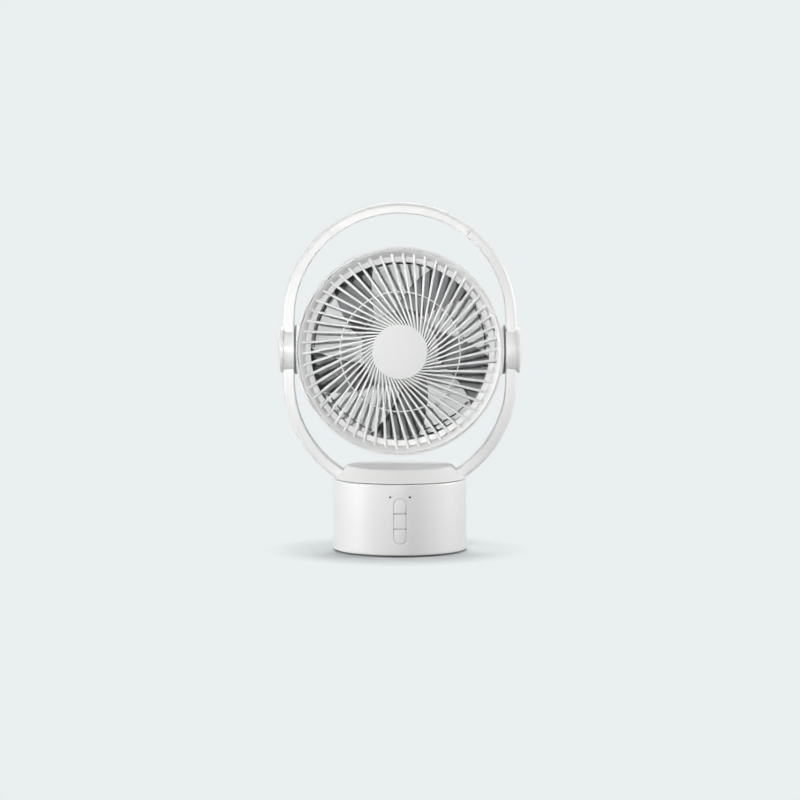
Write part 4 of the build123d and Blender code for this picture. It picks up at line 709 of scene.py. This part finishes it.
class BuildGrille(bpy.types.Operator):
    """Makes the front grille: bezel, collar, hub plate, ribs and the thin middle ring"""

    bl_idname = "fan.build_grille"
    bl_label = "Front Grille"

    def execute(self, context):
        grille = context.scene.fan_grille
        white = bpy.data.materials["abs_satin_white"]
        lip = HEAD_LOW.y
        front = lip + grille.throat_depth - grille.crown
        rib_root = grille.throat_radius + 0.9 * MM
        inner = sqrt(grille.hub_radius**2 - grille.rib_offset**2)
        outer = sqrt(rib_root**2 - grille.rib_offset**2)
        lean = atan(sqrt(grille.throat_radius**2 - grille.rib_offset**2) / grille.rib_offset)
        share = (grille.middle_radius - grille.hub_radius) / (grille.throat_radius - grille.hub_radius)
        ribs = grown(
            bpy.data.meshes.new("grille_seed"), rib_tree(), Rib_Count=grille.rib_count,
            Offset=grille.rib_offset, Inner_Reach=inner, Outer_Reach=outer, Hub_Width=grille.hub_width,
            Rim_Width=grille.rim_width, Depth=grille.rib_depth, Front=front, Crown=grille.crown,
            First=pi / 2 + grille.first_rib - lean, Centre=(0, 0, PIVOT),
            Ring_Radius=grille.middle_radius, Ring_Width=grille.middle_width,
            Ring_Place=front + grille.crown * share**2 + grille.rib_depth - grille.middle_width / 2,
            Material=white,
        )
        shape = bmesh.new()
        shape.from_mesh(ribs)
        edge = (HEAD_HIGH.z - HEAD_LOW.z) / 2 - grille.edge_inset
        turned(shape, self.bezel(grille, lip, edge), 216)
        plate, rear = grille.hub_radius + 0.4 * MM, front + grille.rib_depth
        turned(shape, rounded([
            (0, front, 0), (plate, front, 0.5 * MM), (plate, rear, 0.5 * MM), (0, rear, 0),
        ]))
        self.key(shape, Vector((edge, lip)), Vector((grille.slope_end, lip + grille.slope_depth)))
        finished("grille_moulding", shape, "abs_satin_white", "head", "front_grille")
        return {"FINISHED"}

    def bezel(self, grille, lip, edge):
        """The section of bezel and collar: back along the outside, and forwards over the step."""
        collar, wall, throat = grille.collar_radius, grille.collar_wall, grille.throat_radius
        slope, step = lip + grille.slope_depth, lip + grille.step_depth
        bend, end = lip + grille.bend_depth, lip + grille.bend_depth + grille.shroud
        # The flank leans in towards the front, which leaves a fine groove inside the shell's lip.
        flank = (edge + 1.3 * MM, lip + 3 * MM, 0.2 * MM)
        return rounded([
            (edge, lip + 0.5 * MM, 0.6 * MM), flank,
            (throat + wall, lip + grille.throat_depth + wall, 1.5 * MM),
            (throat + 0.9 * wall, bend - 1.5 * MM, 1.5 * MM),
            (collar + wall, bend + 0.5 * MM, 0.4 * MM), (collar + wall, end, 0.3 * MM),
            (collar, end, 0.3 * MM), (collar, step + 1.8 * MM, 0.3 * MM),
            (grille.step_radius, step + 1.4 * MM, 0.5 * MM), (grille.step_radius, step, 0.4 * MM),
            (grille.slope_end - 0.2 * MM, step - 0.8 * MM, 0.5 * MM), (grille.slope_end, slope, 0.8 * MM),
        ])

    def key(self, shape, edge, slope_end):
        """The small raised key at the top of the bezel's slope."""
        start, reach, height, half = 0.9 * MM, 0.45, 0.8 * MM, 0.8 * MM
        high = edge + Vector((0, start))
        low = high.lerp(slope_end, reach)
        rise = Vector((high.y - low.y, low.x - high.x)).normalized() * height
        sunk = rise * 0.4
        section = [high - sunk, high + rise, low + rise, low - sunk]
        rings = [[shape.verts.new((x, p.y, PIVOT + p.x)) for p in section] for x in (-half, half)]
        joined(shape, rings, False)
        for ring in rings:
            shape.faces.new(ring)


class BuildHubCap(bpy.types.Operator):
    """Makes the plain disc in the middle of the grille"""

    bl_idname = "fan.build_hub_cap"
    bl_label = "Hub Cap"

    def execute(self, context):
        radius = (CAP_HIGH.z - CAP_LOW.z) / 2
        front, dome, back = CAP_LOW.y, 0.9 * MM, HEAD_LOW.y + 0.6 * MM
        crown = [Vector((radius * share, front + dome * share**2)) for share in (0, 0.25, 0.5, 0.75)]
        edge = rounded([
            (0.9 * radius, front + 0.73 * MM, 0), (radius, front + dome, 0.6 * MM),
            (radius, back, 0.2 * MM), (0, back, 0),
        ])
        shape = bmesh.new()
        turned(shape, crown + edge)
        finished("hub_disc", shape, "abs_matt_grey", "head", "hub_cap")
        return {"FINISHED"}


# A blade's sections, from the root to the tip. Stations and half widths are shares of the tip radius,
# sweeps are degrees round the axis, and pitches are degrees from the plane in which the blades turn.
BLADE_STATIONS = (0.262, 0.497, 0.722, 1.012)
BLADE_HALF_WIDTHS = (0.098, 0.15, 0.248, 0.37)
BLADE_SWEEPS = (38.0, 21.5, 10.0, -3.0)
BLADE_PITCHES = (48.0, 40.0, 32.0, 25.0)


def between_stations(values, share):
    """The value at a share of the tip radius on the one smooth curve through the stations' values."""
    total = 0
    for i, value in enumerate(values):
        for j, other in enumerate(BLADE_STATIONS):
            if i != j:
                value *= (share - other) / (BLADE_STATIONS[i] - other)
        total += value
    return total


def blade_station(reach):
    """The share of the tip radius whose straight section has its ends at a given reach."""
    low, high = 0.2, 1.0
    for _ in range(40):
        middle = (low + high) / 2
        if hypot(middle, between_stations(BLADE_HALF_WIDTHS, middle)) < reach:
            low = middle
        else:
            high = middle
    return low


def impeller_tree():
    """Copies of one blade round the head's axis."""
    tree = bpy.data.node_groups.new("impeller_blades", "GeometryNodeTree")
    given = tree_inputs(tree, Blade_Count="Int", First="Float", Centre="Vector", Material="Material")
    blades = ring_of_copies(
        tree, given["Geometry"], given["Blade Count"], given["First"], given["Centre"]
    )
    closing(tree, (blades,), given["Material"])
    return tree


class BuildImpeller(bpy.types.Operator):
    """Makes the impeller: swept, cambered blades on a cup-shaped hub"""

    bl_idname = "fan.build_impeller"
    bl_label = "Impeller"
    bluntness, tip_bluntness = 5, 60  # powers: a larger one keeps the thickness closer to the edge
    tip_edge = 0.25  # share of the thickness that is left at the tip
    camber = 0.18  # rise of the blade's middle, as a share of its half width

    def execute(self, context):
        fan = context.scene.fan_impeller
        rotor_gap = 0.05 * MM
        front = ROTOR_FRONT - fan.face - rotor_gap
        blade = bmesh.new()
        self.blade(blade, fan, front + fan.hub_depth / 2)
        mesh = bpy.data.meshes.new("blade_seed")
        blade.to_mesh(mesh)
        blade.free()
        blades = grown(
            mesh, impeller_tree(), Blade_Count=fan.blade_count, First=fan.tip_angle, Centre=(0, 0, PIVOT),
            Material=bpy.data.materials["polypropylene_pale"],
        )
        shape = bmesh.new()
        shape.from_mesh(blades)
        rear, inside = front + fan.hub_depth, fan.hub_radius - fan.hub_wall
        turned(shape, rounded([
            (0, front, 0), (fan.hub_radius, front, fan.hub_round), (fan.hub_radius, rear, 0.5 * MM),
            (inside, rear, 0.5 * MM), (inside, front + fan.face, fan.hub_round - fan.hub_wall),
            (0, front + fan.face, 0),
        ]))
        finished("impeller_moulding", shape, "polypropylene_pale", "rotor", "impeller")
        return {"FINISHED"}

    def blade(self, shape, fan, middle, stations=28, points=18):
        """One blade round the right side, from inside the hub's wall to its slotted, round tip."""
        root = (fan.hub_radius - fan.hub_wall / 2) / fan.tip_radius
        slot = [(fan.slot_radius - fan.slot_width) / fan.tip_radius, fan.slot_radius / fan.tip_radius]
        even = [root + (1 - root) * sin(pi / 2 * i / stations) for i in range(stations + 1)]
        reaches = sorted([reach for reach in even if not slot[0] < reach < slot[1]] + slot)
        rings = []
        for reach in reaches:
            share = blade_station(reach)
            half = between_stations(BLADE_HALF_WIDTHS, share)
            sweep = radians(between_stations(BLADE_SWEEPS, share))
            pitch = radians(between_stations(BLADE_PITCHES, share))
            spread = atan(half / share)
            radius, width = reach * fan.tip_radius, half * fan.tip_radius
            tip = sqrt(max(0, 1 - ((reach - root) / (1 - root)) ** self.tip_bluntness))
            thickness = fan.thickness / 2 * (self.tip_edge + (1 - self.tip_edge) * tip)
            ring = []
            for k in range(2 * points):
                turn = pi * k / points
                along = cos(turn)
                side = 1 if sin(turn) > 0 else -1
                thick = side * thickness * sqrt(1 - abs(along) ** self.bluntness)
                y = middle - tan(pitch) * width * along + self.camber * width * (1 - along**2)
                angle = sweep + spread * along - thick * sin(pitch) / radius
                spot = (radius * cos(angle), y - thick * cos(pitch), radius * sin(angle))
                ring.append(shape.verts.new(spot))
            rings.append(ring)
        first = reaches.index(slot[0])
        joined(shape, rings[:first + 1], False)
        joined(shape, rings[first + 1:], False)
        self.slotted(shape, rings[first], rings[first + 1], points)
        for ring in (rings[0], rings[-1]):
            shape.faces.new(ring)

    def slotted(self, shape, near, far, points, bridge=2):
        """The faces between two sections of a blade with a slot right through, bridged at both edges."""
        for k in range(-bridge, bridge):
            for i in (k, k + points):
                shape.faces.new((near[i], near[i + 1], far[i + 1], far[i]))
        for ring in (near, far):
            for k in range(bridge, points - bridge):
                shape.faces.new((ring[k], ring[k + 1], ring[-k - 1], ring[-k]))
        for k in (bridge, points - bridge):
            shape.faces.new((near[k], far[k], far[-k], near[-k]))


# Screws

def screw_tree():
    """A screw head at each point of a mesh, each turned at random about its own axis."""
    tree = bpy.data.node_groups.new("screw_heads", "GeometryNodeTree")
    given = tree_inputs(tree, Screw="Object", Facing="Rotation", Material="Material")
    head = add(tree, "GeometryNodeObjectInfo", {"Object": given["Screw"]}).outputs["Geometry"]
    spin = add(tree, "FunctionNodeRandomValue", {
        "Max": 1.5, "Seed": 7,
    }, data_type="FLOAT").outputs["Value"]
    euler = add(tree, "ShaderNodeCombineXYZ", {"Z": spin}).outputs[0]
    own = add(tree, "FunctionNodeEulerToRotation", {0: euler}).outputs[0]
    turn = add(tree, "FunctionNodeRotateRotation", {"Rotation": given["Facing"], "Rotate By": own})
    turn.rotation_space = "LOCAL"
    heads = add(tree, "GeometryNodeInstanceOnPoints", {
        "Points": given["Geometry"], "Instance": head, "Rotation": turn.outputs[0],
    }).outputs[0]
    closing(tree, (heads,), given["Material"])
    return tree


class BuildScrews(bpy.types.Operator):
    """Makes the screws that show: in the ring's back, in the rear guard and under the base"""

    bl_idname = "fan.build_screws"
    bl_label = "Screws"

    def execute(self, context):
        head = placed("screw_seed", self.pan_head(radius=2.3 * MM, height=1.5 * MM))
        tree = screw_tree()
        rearward, down = (radians(-90), 0, 0), (radians(180), 0, 0)
        for name, body, facing, seats in (
            ("ring_screws", "turntable", rearward, self.ring_seats()),
            ("guard_screws", "head", rearward, self.guard_seats()),
            ("case_screws", "base", down, self.case_seats()),
        ):
            points = bpy.data.meshes.new(f"{name}_seats")
            points.from_pydata(seats, [], [])
            heads = grown(
                points, tree, Screw=head, Facing=facing, Material=bpy.data.materials["steel_zinc_plated"]
            )
            shape = bmesh.new()
            shape.from_mesh(heads)
            finished(f"{name}_heads", shape, "steel_zinc_plated", body, name)
        bpy.data.objects.remove(head)
        return {"FINISHED"}

    def pan_head(self, radius, height):
        """A pan head with a cross recess, its seat on the ground and a short stem under it."""
        shape = bmesh.new()
        turns = [2 * pi * k / 48 for k in range(48)]
        stem, stem_end = 1.2 * MM, -4 * MM
        arm, reach = 0.42 * MM, 1.35 * MM
        cross = []
        for turn in turns:
            small, large = sorted((abs(cos(turn)), abs(sin(turn))))
            cross.append(min(reach / large, arm / max(1e-6, small)))
        rings = [[shape.verts.new((0, 0, stem_end))]]
        sizes = [(stem, stem_end), (stem, 0), (radius, 0)]
        dome = ((1, 0.35), (0.93, 0.7), (0.8, 0.92), (0.68, 1))
        sizes += [(share * radius, level * height) for share, level in dome]
        for size, level in sizes:
            rings.append([shape.verts.new((size * cos(turn), size * sin(turn), level)) for turn in turns])
        for share, level in ((1, height), (0.72, 0.35 * height)):
            rings.append([
                shape.verts.new((share * size * cos(turn), share * size * sin(turn), level))
                for turn, size in zip(turns, cross)
            ])
        rings.append([shape.verts.new((0, 0, 0.2 * height))])
        joined(shape, rings, False)
        mesh = bpy.data.meshes.new("pan_head")
        shape.to_mesh(mesh)
        shape.free()
        return mesh

    def ring_seats(self):
        """Seats in the ring's back, on both sides."""
        middle, seat = 111.0 * MM, 9.5 * MM
        # Half the ring's straight part, and the screws in it, over and under the pivot.
        half, near = 30.5 * MM, 28.4 * MM
        places = [(middle, PIVOT - near), (middle, PIVOT + near)]
        for centre, angle in ((PIVOT - half, -36.0), (PIVOT + half, 34.0), (PIVOT + half, 56.5)):
            turn = radians(angle)
            places.append((middle * cos(turn), centre + middle * sin(turn)))
        return [(side * x, seat, z) for x, z in places for side in (-1, 1)]

    def guard_seats(self):
        """Seats round the rear guard's rim."""
        circle, seat = 98.2 * MM, HEAD_HIGH.y + 5 * MM
        turns = [radians(30 + 60 * k) for k in range(6)]
        return [(circle * cos(turn), seat, PIVOT + circle * sin(turn)) for turn in turns]

    def case_seats(self):
        """Seats under the base."""
        circle, seat = 61.5 * MM, BASE_LOW.z + 1.7 * MM
        turns = [radians(45 + 90 * k) for k in range(4)]
        return [(circle * cos(turn), circle * sin(turn), seat) for turn in turns]


class DressParts(bpy.types.Operator):
    """Gives every piece that keeps its own solid the finish of its material slot"""

    bl_idname = "fan.dress_parts"
    bl_label = "Solid Parts"

    def execute(self, context):
        looks = finishes()
        for name, slot in SLOTS.items():
            materials = frame["nodes"][name].data.materials
            materials.clear()
            materials.append(looks[slot])
        return {"FINISHED"}


class BuildStage(bpy.types.Operator):
    """Makes the floor, the soft studio light, the pale surroundings and the camera"""

    bl_idname = "fan.build_stage"
    bl_label = "Stage"

    def execute(self, context):
        stage = context.scene.fan_stage
        context.scene.view_settings.view_transform = "Standard"
        self.floor(stage)
        self.surroundings(context, stage)
        # The small lamp draws the ribs' shadows on the blades. The wide ones fill and edge the shells.
        self.lamp("front", (-0.28, -2.9, 0.55), size=0.025, power=0.66, spread=21, aim=0.21)
        self.lamp("left", (-1.85, -0.4, 0.3), size=0.6, power=1.85, spread=50, aim=-0.02)
        self.lamp("above", (-0.4, -1.9, 2.1), size=0.8, power=4)
        self.lamp("top", (0.0, 1.1, 1.5), size=1.2, power=18)
        self.lamp("rim_right", (1.7, 0.0, 0.5), size=0.7, power=20)
        camera = placed("camera", bpy.data.cameras.new("camera"))
        back = Vector((0, -cos(stage.elevation), sin(stage.elevation)))
        camera.location = Vector((0, 0, stage.aim)) + back * stage.distance
        camera.rotation_euler = back.to_track_quat("Z", "Y").to_euler()
        camera.data.lens = camera.data.sensor_width * stage.distance / stage.width
        context.scene.camera = camera
        return {"FINISHED"}

    def floor(self, stage):
        """A pale floor that keeps the shadow close to the fan and fades into the backdrop."""
        mesh = bpy.data.meshes.new("floor")
        half = 4.0
        corners = [(-half, -half, 0), (half, -half, 0), (half, half, 0), (-half, half, 0)]
        mesh.from_pydata(corners, [], [(0, 1, 2, 3)])
        placed("floor", mesh)
        made = bpy.data.materials.new("floor_paper")
        tree = cleared(made)
        coords = add(tree, "ShaderNodeTexCoord").outputs["Object"]
        away = add(tree, "ShaderNodeVectorMath", {0: coords}, operation="LENGTH").outputs["Value"]
        fade = add(tree, "ShaderNodeMapRange", {
            "Value": away, "From Min": stage.fade_start, "From Max": stage.fade_end,
        }, interpolation_type="SMOOTHSTEP").outputs[0]
        seen = self.seen(tree)
        share = add(tree, "ShaderNodeMath", {0: fade, 1: seen}, operation="MULTIPLY").outputs[0]
        # The floor looks pale and throws little light back up, so the fan's undersides keep their shade.
        tone = add(tree, "ShaderNodeMix", {
            0: seen, 6: (*stage.bounce, 1), 7: (*stage.floor, 1),
        }, data_type="RGBA").outputs[2]
        paper = add(tree, "ShaderNodeBsdfDiffuse", {"Color": tone}).outputs[0]
        glow = add(tree, "ShaderNodeEmission", {
            "Color": (*stage.backdrop, 1), "Strength": 1.0,
        }).outputs[0]
        mixed = add(tree, "ShaderNodeMixShader", {0: share, 1: paper, 2: glow}).outputs[0]
        add(tree, "ShaderNodeOutputMaterial", {"Surface": mixed})
        mesh.materials.append(made)

    def seen(self, tree):
        """1 for what the camera sees directly, in gloss or through glass."""
        path = add(tree, "ShaderNodeLightPath").outputs
        gloss = add(tree, "ShaderNodeMath", {
            0: path["Is Camera Ray"], 1: path["Is Glossy Ray"],
        }, operation="MAXIMUM").outputs[0]
        return add(tree, "ShaderNodeMath", {
            0: gloss, 1: path["Is Transmission Ray"],
        }, operation="MAXIMUM").outputs[0]

    def surroundings(self, context, stage):
        """An even grey light from all round, behind the backdrop's own colour."""
        world = bpy.data.worlds.new("studio")
        context.scene.world = world
        tree = cleared(world)
        light = add(tree, "ShaderNodeBackground", {
            "Color": (1, 1, 1, 1), "Strength": stage.ambient,
        }).outputs[0]
        shown = add(tree, "ShaderNodeBackground", {
            "Color": (*stage.backdrop, 1), "Strength": 1.0,
        }).outputs[0]
        mixed = add(tree, "ShaderNodeMixShader", {0: self.seen(tree), 1: light, 2: shown}).outputs[0]
        add(tree, "ShaderNodeOutputWorld", {"Surface": mixed})

    def lamp(self, name, place, size, power, spread=180, aim=0.2):
        """A square lamp that faces a height on the fan's axis, with its spread in degrees."""
        data = bpy.data.lights.new(name, "AREA")
        data.size = size
        data.energy = power
        data.spread = radians(spread)
        lamp = placed(name, data)
        lamp.location = place
        lamp.rotation_euler = (Vector(place) - Vector((0, 0, aim))).to_track_quat("Z", "Y").to_euler()


class FanPanel(bpy.types.Panel):
    """Lists the fan's sizes, colours and steps"""

    bl_idname = "VIEW3D_PT_fan"
    bl_label = "Ring Handle Fan"
    bl_space_type = "VIEW_3D"
    bl_region_type = "UI"
    bl_category = "Fan"

    def draw(self, context):
        for name in SETTINGS:
            settings = getattr(context.scene, name)
            box = self.layout.box()
            for key in settings.__annotations__:
                box.prop(settings, key)
        for step in STEPS:
            self.layout.operator(step.bl_idname)


SETTINGS = {
    "fan_base": FanBaseSettings,
    "fan_grille": FanGrilleSettings,
    "fan_impeller": FanImpellerSettings,
    "fan_finish": FanFinishSettings,
    "fan_stage": FanStageSettings,
}
STEPS = (
    DressParts, BuildBase, BuildButtons, BuildGrille, BuildHubCap, BuildImpeller, BuildScrews, BuildStage,
)


def register():
    for kind in (*SETTINGS.values(), *STEPS, FanPanel):
        bpy.utils.register_class(kind)
    for name, kind in SETTINGS.items():
        setattr(bpy.types.Scene, name, PointerProperty(type=kind))


def unregister():
    for name in SETTINGS:
        delattr(bpy.types.Scene, name)
    for kind in (FanPanel, *reversed(STEPS), *SETTINGS.values()):
        bpy.utils.unregister_class(kind)


def main():
    register()
    for step in STEPS:
        group, name = step.bl_idname.split(".")
        getattr(getattr(bpy.ops, group), name)()


if __name__ == "__main__":
    main()
